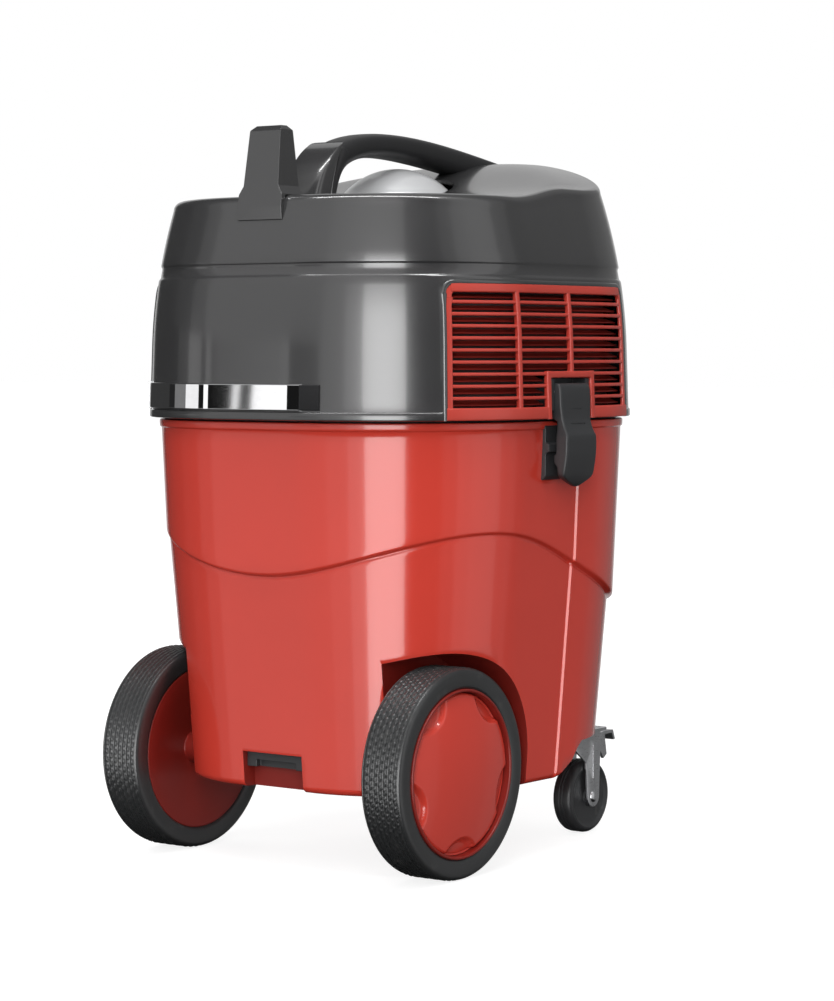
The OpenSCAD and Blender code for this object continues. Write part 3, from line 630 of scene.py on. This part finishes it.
def make_container():
    columns = outline_columns(corner_steps=40, long_steps=18, short_steps=12)
    profiles = []
    for column in columns:
        y = column[1] + column[3] * 0.16
        proud = CREASE_STEP * min(1.0, max(0.0, (CREASE_Y - y) / CREASE_WIDTH + 0.5))
        profiles.append(container_profile(column, proud))
    skin = closed_skin("container_skin", columns, profiles)

    inner_columns = outline_columns(corner_steps=16, long_steps=2, short_steps=2)
    levels = [FLOOR_Z + WALL + 0.1 * i for i in range(4)] + [RIM_Z + 0.01]
    inner_profile = [(low_radius(z) - WALL, z) for z in levels]
    hollow = closed_skin("hollow", inner_columns, [inner_profile] * len(inner_columns))
    axle_y = WHEEL_AXIS.y
    for side in (-1, 1):
        ends = (side * (POCKET_X - WALL), side * OUTSIDE)
        boolean(hollow, prism("pocket_inside", pocket_outline(WALL), "x", ends))
    boolean(hollow, prism("rise_inside", front_rise(WALL), "x", (-OUTSIDE, OUTSIDE)))
    # Round the axle's channel and the cut-out low in the rear wall
    boolean(hollow, box_tool((-OUTSIDE, OUTSIDE), (axle_y - 0.02, axle_y + 0.02), (0, WHEEL_R + 0.024)))
    boolean(hollow, box_tool((-0.044, 0.044), (0.160, 0.240), (0, 0.118)))
    boolean(skin, hollow)

    # The pocket cutters carry the darker red, so the pocket faces they cut get painted shade
    for side in (-1, 1):
        boolean(skin, prism("pocket", pocket_outline(0), "x", (side * POCKET_X, side * OUTSIDE), "red_wheel"))
    boolean(skin, prism("rise", front_rise(0), "x", (-OUTSIDE, OUTSIDE)))
    # This cutter carries the darker red too, which paints shade on the rear cut-out's back wall
    boolean(skin, box_tool((-0.036, 0.036), (0.172, 0.25), (0.02, 0.111), "red_wheel"))
    for side in (-1, 1):
        boolean(skin, box_tool((side * 0.012, side * (POCKET_X - 0.012)), (axle_y - 0.016, axle_y + 0.016),
                               (0.02, WHEEL_R + 0.02)))
    boolean(skin, rod_tool((-0.13, axle_y, WHEEL_R), (0.13, axle_y, WHEEL_R), AXLE_HOLE_R))
    boolean(skin, rod_tool((0, -0.25, INLET_Z), (0, -0.17, INLET_Z), INLET_R))
    bevel(skin, 0.0016, segments=2, angle=50)
    apply_modifiers(skin)
    finish_piece(skin, "container", "red_shell", "container")


make_container()

# ---- Head cover ----

SHELL = 0.0035
CROWN_R = 0.454
CROWN_TOP = 0.690
DECK_Z = 0.641
SHOULDER = 0.009
DOME_Y = -0.010
DOME_R = 0.056
GLAND_Z = 0.458
# Rows up the wall below the shoulder: height, and how far the surface stands out or sinks in
HEAD_ROWS = [(0.4300, 0.0), (0.4304, 0.0009), (0.4312, 0.0013), (0.4368, 0.0013), (0.4376, 0.0008),
             (0.4382, 0.0), (0.450, 0.0), (0.465, 0.0), (0.480, 0.0), (0.495, 0.0), (0.510, 0.0),
             (0.525, 0.0), (0.540, 0.0), (0.555, 0.0), (0.5628, 0.0), (0.5640, -0.0002), (0.5652, -0.0011),
             (0.5664, -0.0016), (0.5750, -0.0016), (0.5762, -0.0011), (0.5774, -0.0002), (0.5786, 0.0),
             (0.590, 0.0)]


def roof_height(x, y):
    """The deck, which rises from the rear to the front and is crowned from side to side."""
    ramp = DECK_Z + (CROWN_TOP - DECK_Z) * float(smooth_step((0.06 - y) / 0.24))
    crown = CROWN_TOP - CROWN_R + math.sqrt(CROWN_R ** 2 - x * x)
    blend = 0.006
    gap = max(blend - abs(ramp - crown), 0.0) / blend
    return min(ramp, crown) - gap * gap * blend / 4


def head_solid(name, inset, columns, rows):
    """The head's closed outer form, or its hollow when it is inset."""

    def wall_point(column, z, inward):
        bx, by, nx, ny = column
        r = float(head_radius(z)) - inward
        return bx + nx * r, by + ny * r, z

    verts = [wall_point(column, z, inset - out) for z, out in rows for column in columns]
    tops = []
    for column in columns:
        x, y, _ = wall_point(column, 0.64, SHOULDER)
        tops.append(roof_height(x, y) - inset - SHOULDER)
    last = rows[-1][0]
    for i in range(1, 9):
        verts += [wall_point(column, last + (top - last) * i / 8, inset)
                  for column, top in zip(columns, tops)]
    for i in range(1, 8):
        inward, up = polar(SHOULDER, 90 * i / 7)
        for column, top in zip(columns, tops):
            x, y, z = wall_point(column, top, inset + SHOULDER - inward)
            verts.append((x, y, z + up))
    edge = verts[-len(columns):]
    for share in [1 - 0.055 * i for i in range(1, 17)] + [0.06]:
        verts += [(x * share, y * share, roof_height(x * share, y * share) - inset) for x, y, _ in edge]
    return capped(name, verts, len(columns), "head_plastic")


GRILLE_Y = (-0.114, 0.156)
GRILLE_TOP = 0.560
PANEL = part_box("control_panel")


def window_outline():
    """The vent window seen from the side, with its two upper corners rounded."""
    radius = 0.016
    low = 0.42
    front, rear = GRILLE_Y
    rear_corner = arc((rear - radius, GRILLE_TOP - radius), radius, range(0, 91, 9))
    front_corner = arc((front + radius, GRILLE_TOP - radius), radius, range(90, 181, 9))
    return [(rear, low)] + rear_corner + front_corner + [(front, low)]


def make_head_cover():
    columns = outline_columns(corner_steps=44, long_steps=16, short_steps=12)
    cover = head_solid("head_skin", 0.0, columns, HEAD_ROWS)
    inner_columns = outline_columns(corner_steps=20, long_steps=4, short_steps=3)
    plain_rows = [(z, 0.0) for z in (0.420, 0.470, 0.510, 0.550, 0.590)]
    boolean(cover, head_solid("head_hollow", SHELL, inner_columns, plain_rows))
    for side in (-1, 1):
        boolean(cover, prism("window", window_outline(), "x", (side * 0.1, side * OUTSIDE), "head_plastic"))
    x_half = PANEL[1].x + 0.0003
    z_mid = (PANEL[0].z + PANEL[1].z) / 2
    z_half = (PANEL[1].z - PANEL[0].z) / 2 + 0.0003
    panel_outline = rounded_outline(x_half, z_half, 0.016, 8, (0, z_mid))
    boolean(cover, prism("panel_window", panel_outline, "y", (-OUTSIDE, -0.15), "head_plastic"))
    boolean(cover, rod_tool((0, -0.26, GLAND_Z), (0, -0.15, GLAND_Z), 0.009, slot="head_plastic"))
    boolean(cover, rod_tool((0, DOME_Y, 0.60), (0, DOME_Y, 0.72), DOME_R + 0.0004, 96, "head_plastic"))
    bevel(cover, 0.0010, segments=2, angle=50)
    apply_modifiers(cover)
    finish_piece(cover, "head", "head_plastic", "head_cover")


make_head_cover()

# ---- Rear wheels ----

TREAD_RIBS = 7
TREAD_EDGE = 0.0045
TREAD_DEPTH = 0.0024
LATTICE_COUNT = 76
TYRE_TURNS = 608
HUB_R = 0.0764
HUB_TURNS = 200
SCALLOPS = 5
SCALLOP_AT = 0.0870
SCALLOP_R = 0.0275


def wheel_point(side, radius, angle, width):
    """A place on a rear wheel: radius, angle about the axle, distance out from its inner face."""
    x = side * (TRACK_HALF - TYRE_W + width)
    return (x, WHEEL_AXIS.y + radius * math.sin(angle), WHEEL_R - radius * math.cos(angle))


def tread_height(angle, width):
    """Seven ribs round the tyre, nicked by a crossing lattice of slanted grooves."""
    pitch = (TYRE_W - 2 * TREAD_EDGE) / TREAD_RIBS
    phase = ((width - TREAD_EDGE) / pitch) % 1.0
    rib = float(smooth_step((0.5 - abs(phase - 0.5)) / 0.24 - 0.25))
    slant = width / pitch * 0.5
    turn = angle * LATTICE_COUNT / (2 * math.pi)
    nick = 1.0
    for direction in (1, -1):
        place = (turn + direction * slant) % 1.0
        nick = min(nick, float(smooth_step(abs(place - 0.5) / 0.2 - 0.25)))
    return WHEEL_R - TREAD_DEPTH * (1 - rib * (0.74 + 0.26 * nick))


# The tyre's side from its foot to the tread: radius, distance from its face
SIDEWALL = [(0.0795, 0.0040), (0.0800, 0.0026), (0.0812, 0.0016), (0.0830, 0.0010), (0.0900, 0.0006),
            (0.0945, 0.0007), (0.0968, 0.0012), (0.0984, 0.0022), (0.0990, 0.0034), (0.0986, 0.0040)]


def make_tyre(side, name):
    angles = around(TYRE_TURNS)
    verts = [wheel_point(side, radius, a, width) for radius, width in SIDEWALL for a in angles]
    steps = TREAD_RIBS * 8
    for i in range(steps + 1):
        width = TREAD_EDGE + (TYRE_W - 2 * TREAD_EDGE) * i / steps
        verts += [wheel_point(side, tread_height(a, width), a, width) for a in angles]
    for radius, width in reversed(SIDEWALL):
        verts += [wheel_point(side, radius, a, TYRE_W - width) for a in angles]
    faces = ring_faces(len(verts) // TYRE_TURNS, TYRE_TURNS, wrap_rows=True)
    return new_object(name, verts, faces, "tyre", 48)


def hub_height(radius, angle):
    """The cap's outer face: a shallow dome with scooped recesses at its edge."""
    share = radius / HUB_R
    face = TYRE_W + 0.0035 - 0.0075 * share ** 2
    face -= 0.0030 * float(smooth_step((share - 0.965) / 0.035)) ** 2
    x, y = radius * math.cos(angle), radius * math.sin(angle)
    for i in range(SCALLOPS):
        scallop_x, scallop_y = polar(SCALLOP_AT, 72 * i)
        inside = SCALLOP_R - math.hypot(x - scallop_x, y - scallop_y)
        face -= 0.0046 * float(smooth_step((inside + 0.0006) / 0.0050))
    return face


def make_hub_cap(side, name):
    rings = 52
    verts = [wheel_point(side, 0, 0, hub_height(0, 0))]
    for i in range(1, rings + 1):
        radius = HUB_R * (i / rings) ** 0.8
        verts += [wheel_point(side, radius, a, hub_height(radius, a)) for a in around(HUB_TURNS)]
    for radius, depth in ((HUB_R - 0.0002, 0.008), (HUB_R - 0.012, 0.012)):
        verts += [wheel_point(side, radius, a, TYRE_W - depth) for a in around(HUB_TURNS)]
    return domed(name, verts, HUB_TURNS, "red_shell", 60)


for wheel_side, wheel_label in ((-1, "right"), (1, "left")):
    for make, look, stands_for, wheel_slot in ((make_tyre, "tyre_tread_", "tyre_", "tyre"),
                                               (make_hub_cap, "hub_shell_", "hub_cap_", "red_shell")):
        wheel_piece = make(wheel_side, look + wheel_label)
        finish_piece(wheel_piece, "wheel_" + wheel_label, wheel_slot, stands_for + wheel_label)

# ---- Bars that follow the head's wall ----


def section_outline(half_w, low, high, radius, steps=3):
    """A rounded rectangle across a bar: sideways half width, and depth from low to high."""
    return rounded_outline(half_w, (high - low) / 2, radius, steps, (0, (low + high) / 2))


def wall_frame(u, z):
    """A place on the head's wall, and the outward normal there."""
    step = 0.0004
    here = on_head(u, z)
    along = on_head(u + step, z) - on_head(u - step, z)
    up = on_head(u, z + step) - on_head(u, z - step)
    normal = up.cross(along).normalized()
    if normal.dot(Vector((here.x, here.y, 0))) < 0:
        normal.negate()
    return here, normal


def wall_bars(name, bars, slot, smooth_angle, mirror=1):
    """A piece of bars, each a path of (distance round the wall, height) and the section along it."""
    verts, faces = [], []
    for path, section in bars:
        places = [wall_frame(u, z) for u, z in path]
        base = len(verts)
        n = len(section)
        for i, (here, normal) in enumerate(places):
            before = places[max(i - 1, 0)][0]
            after = places[min(i + 1, len(places) - 1)][0]
            side = (after - before).normalized().cross(normal).normalized()
            spread = 1
            if 0 < i < len(places) - 1:
                turn = (here - before).normalized().dot((after - here).normalized())
                spread = 1 / max(0.5, math.sqrt(max(0.1, (1 + turn) / 2)))
            for across, depth in section:
                point = here + side * across * spread + normal * depth
                verts.append((mirror * point.x, point.y, point.z))
        faces += [tuple(base + v for v in face) for face in ring_faces(len(places), n)]
        faces.append(tuple(base + j for j in range(n)))
        faces.append(tuple(base + (len(places) - 1) * n + j for j in reversed(range(n))))
    return new_object(name, verts, faces, slot, smooth_angle)


def straight_path(start, end, steps):
    return [(start[0] + (end[0] - start[0]) * i / steps, start[1] + (end[1] - start[1]) * i / steps)
            for i in range(steps + 1)]


def level_path(u0, u1, z, steps):
    return straight_path((u0, z), (u1, z), steps)


def upright_path(u, z0, z1, steps):
    return straight_path((u, z0), (u, z1), steps)


# ---- Vent grilles ----

ROW_PITCH = 0.0112
SLOT_H = 0.0064
FIRST_SLOT = SEAM_Z + 0.012
ROWS = 10
LATCH_NOTCH = 0.034
NOTCH_TOP = 0.469
GRILLE_FIT = 0.0004
# Across a louvre slat: height, depth from the wall
SLAT = [(-0.0058, -0.0150), (-0.0046, -0.0155), (-0.0004, -0.0062), (-0.0010, -0.0052), (-0.0018, -0.0056)]
DUCT_DEPTHS = (-0.019, -0.0175)


def make_grille(side, label):
    # The head is drawn on the -X side, where distance round the wall grows towards the front
    rear = head_u_of_y(GRILLE_Y[1] - GRILLE_FIT)
    front = head_u_of_y(GRILLE_Y[0] + GRILLE_FIT)
    top = GRILLE_TOP - GRILLE_FIT
    low = SEAM_Z + 0.0003
    half = 0.0042
    corner = 0.0115
    corner_z = top - half - corner

    def spans(margin, z, clear):
        """Where a level bar runs, in two parts where the latch's cut-out interrupts it."""
        places = [rear + margin, front - margin]
        if z < NOTCH_TOP:
            places[1:1] = [head_u_of_y(LATCH_NOTCH + clear), head_u_of_y(-LATCH_NOTCH - clear)]
        return list(zip(places[::2], places[1::2]))

    corner_u = rear + half + corner, front - half - corner
    rim = upright_path(rear + half, low, corner_z, 16)
    rim += arc((corner_u[0], corner_z), corner, range(180, 89, -9))
    rim += level_path(*corner_u, top - half, 24)[1:-1]
    rim += arc((corner_u[1], corner_z), corner, range(90, -1, -9))
    rim += upright_path(front - half, corner_z, low, 16)[1:]
    bars = [(rim, section_outline(half, -0.003, 0.0007, 0.0012))]
    thin = section_outline(0.0016, -0.0050, 0.0004, 0.0010)
    for row in range(ROWS - 1):
        z = FIRST_SLOT + row * ROW_PITCH + SLOT_H + (ROW_PITCH - SLOT_H) / 2
        for u0, u1 in spans(half, z, 0.004):
            bars.append((level_path(u0, u1, z, max(4, int((u1 - u0) / 0.008))), thin))
    upright = section_outline(0.0026, -0.004, 0.0012, 0.0011)
    for y, bottom in ((0.080, low + 0.004), (-0.004, NOTCH_TOP + 0.003)):
        bars.append((upright_path(head_u_of_y(y), bottom, top - half, 16), upright))
    # The bands above the top slot and below the bottom one
    for z0, z1, margin, depth, radius, steps in (
            (FIRST_SLOT + (ROWS - 1) * ROW_PITCH + SLOT_H, top - 0.002, 0.008, 0.0013, 0.0012, 30),
            (low, FIRST_SLOT, 0.002, 0.0018, 0.0014, 16)):
        band = section_outline((z1 - z0) / 2, -0.003, depth, radius)
        for u0, u1 in spans(margin, z0, 0.003):
            bars.append((level_path(u0, u1, (z0 + z1) / 2, steps), band))
    # Raised border round the latch's cut-out
    u0, u1 = head_u_of_y(LATCH_NOTCH + 0.0032), head_u_of_y(-LATCH_NOTCH - 0.0032)
    border_z = NOTCH_TOP + 0.0034
    path = upright_path(u0, low, border_z, 8) + level_path(u0, u1, border_z, 12)[1:]
    path += upright_path(u1, border_z, low, 8)[1:]
    bars.append((path, section_outline(0.0032, -0.003, 0.0022, 0.0013)))
    grille = wall_bars("grille_" + label, bars, "grille_red", 40, -side)
    finish_piece(grille, "head", "grille_red", "vent_grille_" + label)

    # The window's rim lies just outside the grille's own
    gap = 0.0034
    near = 0.02
    lip_path = []
    for u, z in rim:
        shift = -gap if u < rear + near else gap if u > front - near else 0
        lip_path.append((u + shift, z + gap if z > top - near else z))
    lip_section = section_outline(0.0030, -0.0050, 0.0016, 0.0029, 5)
    lip = wall_bars("window_lip_" + label, [(lip_path, lip_section)], "head_plastic", 60, -side)
    finish_piece(lip, "head", "head_plastic")

    bars = []
    for row in range(ROWS):
        z = FIRST_SLOT + row * ROW_PITCH + 0.0012
        for u0, u1 in spans(0.006, z, 0.004):
            bars.append((level_path(u0, u1, z, max(4, int((u1 - u0) / 0.01))), SLAT))
    # The louvres take the darker red, as painted shade inside the vent slots
    louvres = wall_bars("louvres_" + label, bars, "red_wheel", 30, -side)
    finish_piece(louvres, "head", "grille_red")

    # A dark duct wall behind the slots, above and beside the latch's cut-out
    bars = []
    split_z = NOTCH_TOP + 0.006
    for z0, z1, steps in ((split_z, top, 30), (SEAM_Z + 0.008, split_z, 14)):
        reach = (z1 - z0) / 2
        back, face = DUCT_DEPTHS
        section = [(-reach, back), (reach, back), (reach, face), (-reach, face)]
        bars += [(level_path(u0, u1, (z0 + z1) / 2, steps), section) for u0, u1 in spans(0.004, z0, 0.001)]
    duct = wall_bars("vent_duct_" + label, bars, "black_plastic", 30, -side)
    finish_piece(duct, "head", "black_plastic")


make_grille(-1, "right")
make_grille(1, "left")

# ---- Plated strip, its dark end plate and its end cap ----

STRIP_LOW = 0.439
STRIP_HIGH = 0.464
STRIP_START = 0.062


def make_strip():
    """The plated strip runs from the rear wall round the +X rear corner."""
    mid = (STRIP_LOW + STRIP_HIGH) / 2
    half = (STRIP_HIGH - STRIP_LOW) / 2
    cap_front, cap_rear = (-head_u_of_y(corner.y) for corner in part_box("strip_end_cap"))

    def bar(name, start, end, steps, section, slot):
        path = level_path(start, end, mid, steps)
        return wall_bars(name, [(path, section_outline(*section, 4))], slot, 40)

    strip = bar("chrome_strip", STRIP_START, cap_rear, 90, (half, 0.0, 0.0026, 0.0012), "chrome_trim")
    flatten_faces(strip)
    finish_piece(strip, "head", "chrome_trim", "trim_strip")
    plate_section = (half - 0.0006, -0.001, 0.0014, 0.0012)
    plate = bar("strip_dark_end", STRIP_START, STRIP_START + 0.020, 12, plate_section, "seal")
    finish_piece(plate, "head", "seal")
    cap_section = (half + 0.001, 0.0, 0.0034, 0.0014)
    cap = bar("strip_end", cap_rear + 0.0004, cap_front, 8, cap_section, "silver_plastic")
    finish_piece(cap, "head", "silver_plastic", "strip_end_cap")


make_strip()

# ---- Handle and dome ----

# Bezier points on the YZ plane: the arch's top, its underside and the root shell's edge
HANDLE_TOP = [(0.150, 0.636), (0.130, 0.713), (0.060, 0.729), (-0.190, 0.689)]
HANDLE_UNDER = [(0.112, 0.630), (0.104, 0.690), (0.060, 0.700), (-0.160, 0.664)]
ROOT_EDGE = [(0.124, 0.630), (0.117, 0.682), (0.096, 0.704)]
ROOT_END = 0.36
ROOT_HALF = 0.0228
GRIP_HALF = 0.0188
GRIP_INSET = 0.0012


def bezier(points, t):
    weights = ((1 - t) ** 3, 3 * (1 - t) ** 2 * t, 3 * (1 - t) * t * t, t ** 3)
    return np.array([sum(w * p[k] for w, p in zip(weights, points)) for k in (0, 1)])


def seam_point(share):
    """The edge of the root shell, which climbs from the grip's foot to the arch's top."""
    y, z = bezier(HANDLE_TOP, ROOT_END)
    return bezier(ROOT_EDGE + [(y, z - GRIP_INSET)], share)


def loft(name, stations, slot, squareness, turns):
    """A body through stations of (upper point, lower point, half width) drawn across the machine."""
    verts = []
    for upper, lower, half in stations:
        for a in around(turns):
            across, up = (math.copysign(abs(s) ** (2 / squareness), s) for s in (math.cos(a), math.sin(a)))
            y, z = (upper + lower) / 2 + (upper - lower) / 2 * up
            verts.append((half * across, y, z))
    return capped(name, verts, turns, slot, 50)


def make_handle():
    stations = []
    for share in np.arange(33) / 32:
        half = ROOT_HALF - 0.0030 * share ** 1.5
        stations.append((bezier(HANDLE_TOP, ROOT_END * share), seam_point(share), half))
    root = loft("handle_shell", stations, "head_plastic", 6.0, 56)
    finish_piece(root, "head", "head_plastic", "handle_root")
    stations = []
    for t in np.arange(73) / 72:
        if t < ROOT_END:
            upper = seam_point(t / ROOT_END)
        else:
            upper = bezier(HANDLE_TOP, t) - np.array((0.0, GRIP_INSET))
        half = GRIP_HALF - 0.0055 * smooth_step((t - 0.72) / 0.28)
        stations.append((upper, bezier(HANDLE_UNDER, t), half))
    grip = loft("grip_sleeve", stations, "grip", 2.7, 40)
    finish_piece(grip, "head", "grip", "handle_grip")


def make_dome():
    cap_z, cap_r = 0.676, 0.071
    reach = math.asin((DOME_R - 0.002) / cap_r)
    profile = [(cap_r * math.sin(reach * i / 20), cap_z - cap_r + cap_r * math.cos(reach * i / 20))
               for i in range(1, 21)]
    rim_z = profile[-1][1]
    profile += [(DOME_R - 0.0012, rim_z - 0.0005), (DOME_R - 0.0004, rim_z - 0.0016), (DOME_R, rim_z - 0.003),
                (DOME_R, 0.634), (DOME_R - 0.003, 0.634)]
    turns = 128
    verts = [(0, DOME_Y, cap_z)]
    for radius, z in profile:
        verts += [(radius * math.cos(a), DOME_Y + radius * math.sin(a), z) for a in around(turns)]
    dome = domed("dome_cap", verts, turns, "silver_plastic", 40)
    finish_piece(dome, "head", "silver_plastic", "top_dome")


make_handle()
make_dome()

# ---- Latches ----

SIDE_X = CORE[0] + 0.1715
LATCH_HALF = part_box("latch_left")[1].y
# Down the latch: height, outer face, inner face, half width as a share
LATCH_ROWS = [
    (0.4640, 0.0020, -0.0078, 0.965), (0.4632, 0.0036, -0.0090, 0.985), (0.4610, 0.0050, -0.0095, 1.0),
    (0.4580, 0.0058, -0.0095, 1.0), (0.4500, 0.0062, -0.0095, 1.0), (0.4440, 0.0064, -0.0095, 1.0),
    (0.4400, 0.0066, -0.0095, 0.985), (0.4360, 0.0068, -0.0095, 0.965), (0.4312, 0.0072, -0.0095, 0.95),
    (0.4300, 0.0074, -0.0040, 0.945), (0.4280, 0.0078, -0.0005, 0.94), (0.4240, 0.0090, -0.0005, 0.935),
    (0.4200, 0.0106, -0.0005, 0.94), (0.4168, 0.0122, -0.0005, 0.955), (0.4150, 0.0131, -0.0005, 0.97),
    (0.4132, 0.0135, -0.0005, 0.985), (0.4090, 0.0135, -0.0005, 0.995), (0.4020, 0.0134, -0.0005, 1.0),
    (0.3970, 0.0132, -0.0005, 1.0), (0.3950, 0.0130, -0.0031, 1.0), (0.3885, 0.0121, -0.0031, 1.0),
    (0.3850, 0.0115, 0.0002, 1.0), (0.3790, 0.0104, 0.0010, 0.995), (0.3764, 0.0098, 0.0014, 0.975),
    (0.3746, 0.0094, 0.0018, 0.93), (0.3715, 0.0087, 0.0022, 0.72), (0.3684, 0.0078, 0.0027, 0.45),
    (0.3660, 0.0068, 0.0032, 0.20), (0.3652, 0.0058, 0.0036, 0.08),
]
# Two fine moulded lines across the paddle: height of the middle, height, depth, half width
LATCH_LINES = ((0.4255, 0.0012, 0.0007, 0.012), (0.4395, 0.0010, 0.0005, 0.008))


def make_latches():
    """A paddle: a flat upper plate, a waist, and a thick grip with a pointed end."""
    verts = []
    steps = 5
    for z, outer, inner, share in LATCH_ROWS:
        half = LATCH_HALF * share
        radius = min(0.0024, half * 0.5, (outer - inner) * 0.45)
        outline = rounded_outline((outer - inner) / 2, half, radius, steps, ((outer + inner) / 2, 0))
        verts += [(SIDE_X + x, y, z) for x, y in outline]
    latch = capped("latch_paddle_left", verts, 4 * (steps + 1), "black_plastic", 38)
    heights, outers = np.array(LATCH_ROWS[::-1]).T[:2]
    for z, height, depth, half in LATCH_LINES:
        outer = SIDE_X + float(np.interp(z, heights, outers))
        ends = (z - height / 2, z + height / 2)
        boolean(latch, box_tool((outer - depth, outer + 0.01), (-half, half), ends, "black_plastic"))
    finish_pair(latch, "clasp", "black_plastic", "latch")


make_latches()

# ---- Casters ----

CASTER_SWIVEL = Vector(joints["caster_swivel_left"]["pos_m"])
CASTER_AXLE = Vector(joints["caster_spin_left"]["pos_m"])
CASTER_R = CASTER_AXLE.z
FORK_TOP = CASTER_TOP - 0.005
LEG_IN = 0.0132
LEG_OUT = 0.0157


def make_caster_forks():
    """A pressed fork: top plate, two ribbed legs and a rear web with a notched lower edge."""
    cx, swivel_y = CASTER_SWIVEL.x, CASTER_SWIVEL.y
    ax_y, ax_z = CASTER_AXLE.y, CASTER_AXLE.z
    front, rear = ax_y - 0.013, ax_y + 0.0135
    leg = arc((ax_y, ax_z), 0.0105, range(180, 361, 12))
    leg += [(ax_y + 0.0125, ax_z + 0.020), (rear, ax_z + 0.036), (swivel_y + 0.010, FORK_TOP - 0.016),
            (swivel_y + 0.012, FORK_TOP - 0.001), (front, FORK_TOP - 0.001), (front, FORK_TOP - 0.018),
            (ax_y - 0.0112, ax_z + 0.020)]
    top = rounded_outline(LEG_OUT, 0.0245, 0.004, 5, (cx, (front + swivel_y + 0.012) / 2))
    half_web = [(-LEG_OUT, FORK_TOP - 0.002), (-LEG_OUT, ax_z + 0.037), (-LEG_IN + 0.001, ax_z + 0.0385),
                (-0.003, ax_z + 0.054)]
    web = [(cx + x, z) for x, z in half_web] + [(cx - x, z) for x, z in reversed(half_web)]
    rib = rounded_outline(0.0026, 0.019, 0.0024, 5, (ax_y - 0.001, ax_z + 0.036))

    def pressing(name, outline, axis, *ends):
        return prism(name, outline, axis, ends, "zinc_steel")

    def boss(low, high, radius):
        return rod_tool((cx, swivel_y, FORK_TOP + low), (cx, swivel_y, FORK_TOP + high), radius)

    fork = pressing("fork_pressing_left", leg, "x", cx + LEG_IN, cx + LEG_OUT)
    for part in (
        pressing("leg", leg, "x", cx - LEG_OUT, cx - LEG_IN),
        pressing("top", top, "z", FORK_TOP - 0.003, FORK_TOP),
        boss(-0.003, 0, 0.021),
        boss(-0.001, 0.0016, 0.015),
        pressing("web", web, "y", rear - 0.0005, rear + 0.0018),
        pressing("rib", rib, "x", cx - LEG_OUT + 0.0002, cx - LEG_OUT - 0.0006),
        pressing("rib", rib, "x", cx + LEG_OUT - 0.0002, cx + LEG_OUT + 0.0006),
    ):
        boolean(fork, part, "UNION")
    bevel(fork, 0.0005, segments=2, angle=40)
    apply_modifiers(fork)
    finish_pair(fork, "swivel", "zinc_steel", "caster_fork")


def turned_pair(name, half, turns, body, slot, node):
    """A left and a right piece turned about the caster axles, from half a profile of (radius, x offset)."""
    profile = half + [(radius, -x) for radius, x in reversed(half)]
    verts = [CASTER_AXLE + Vector((x, radius * math.sin(a), radius * math.cos(a)))
             for radius, x in profile for a in around(turns)]
    faces = ring_faces(len(profile), turns, wrap_rows=True)
    finish_pair(new_object(name + "_left", verts, faces, slot, 40), body, slot, node)


# The caster wheel's hub as (radius, x offset), and its tyre as (distance in from the tread, x offset)
CASTER_HUB = [(0.0041, 0.0112), (0.0048, 0.0118), (0.0088, 0.0118), (0.0096, 0.0112), (0.0110, 0.0098)]
CASTER_TYRE = [(0.0100, 0.0092), (0.0082, 0.0096), (0.0066, 0.0110), (0.0052, 0.0117), (0.0036, 0.0113),
               (0.0016, 0.0098), (0.0005, 0.0080), (0, 0.0055), (0, 0.0028), (0.0006, 0.0022),
               (0.0006, 0.0014), (0, 0.0008)]
# The rivet's head: radius, height over the leg
RIVET_HEAD = [(0.0, 0.0022), (0.0026, 0.0021), (0.0046, 0.0015), (0.0058, 0.0006), (0.0060, 0),
              (0.0039, -0.0002)]

make_caster_forks()
turned_pair("caster_tyre", CASTER_HUB + [(CASTER_R - inward, x) for inward, x in CASTER_TYRE], 96,
            "caster_roller", "caster_tread", "caster_wheel")
turned_pair("axle_rivet", [(radius, LEG_OUT + x) for radius, x in RIVET_HEAD] + [(0.0039, 0.001)], 48,
            "swivel", "zinc_steel", "caster_rivet")

# ---- Carried-over CAD pieces ----

# Edge rounding of the pieces whose own shape is kept
EDGES = {
    0.0004: "impeller",
    0.0006: "latch_keeper_left latch_keeper_right head_base caster_plate_left caster_plate_right filter_cage "
            "brake_pedal_left brake_pedal_right",
    0.0008: "inlet_deflector axle_bridge socket_body socket_flap cable_gland",
    0.0010: "control_panel selector_knob suction_dial fan_case",
    0.0012: "inlet_fitting filter_clamp",
    0.0014: "rim_left rim_right",
    0.0015: "motor_hood",
    0.0046: "cable_post",
}


def finish_cad_nodes():
    slots = {row["node"]: row["material_slot"] for row in frame["record"]["subparts"]}
    widths = {name: width for width, names in EDGES.items() for name in names.split()}
    for name, obj in nodes.items():
        obj.data.materials.clear()
        obj.data.materials.append(MATERIALS[slots[name]])
        if name in widths:
            weld = obj.modifiers.new("weld", "WELD")
            weld.merge_threshold = 0.00001
            bevel(obj, widths[name], segments=4, angle=30)
            flatten_faces(obj)


finish_cad_nodes()
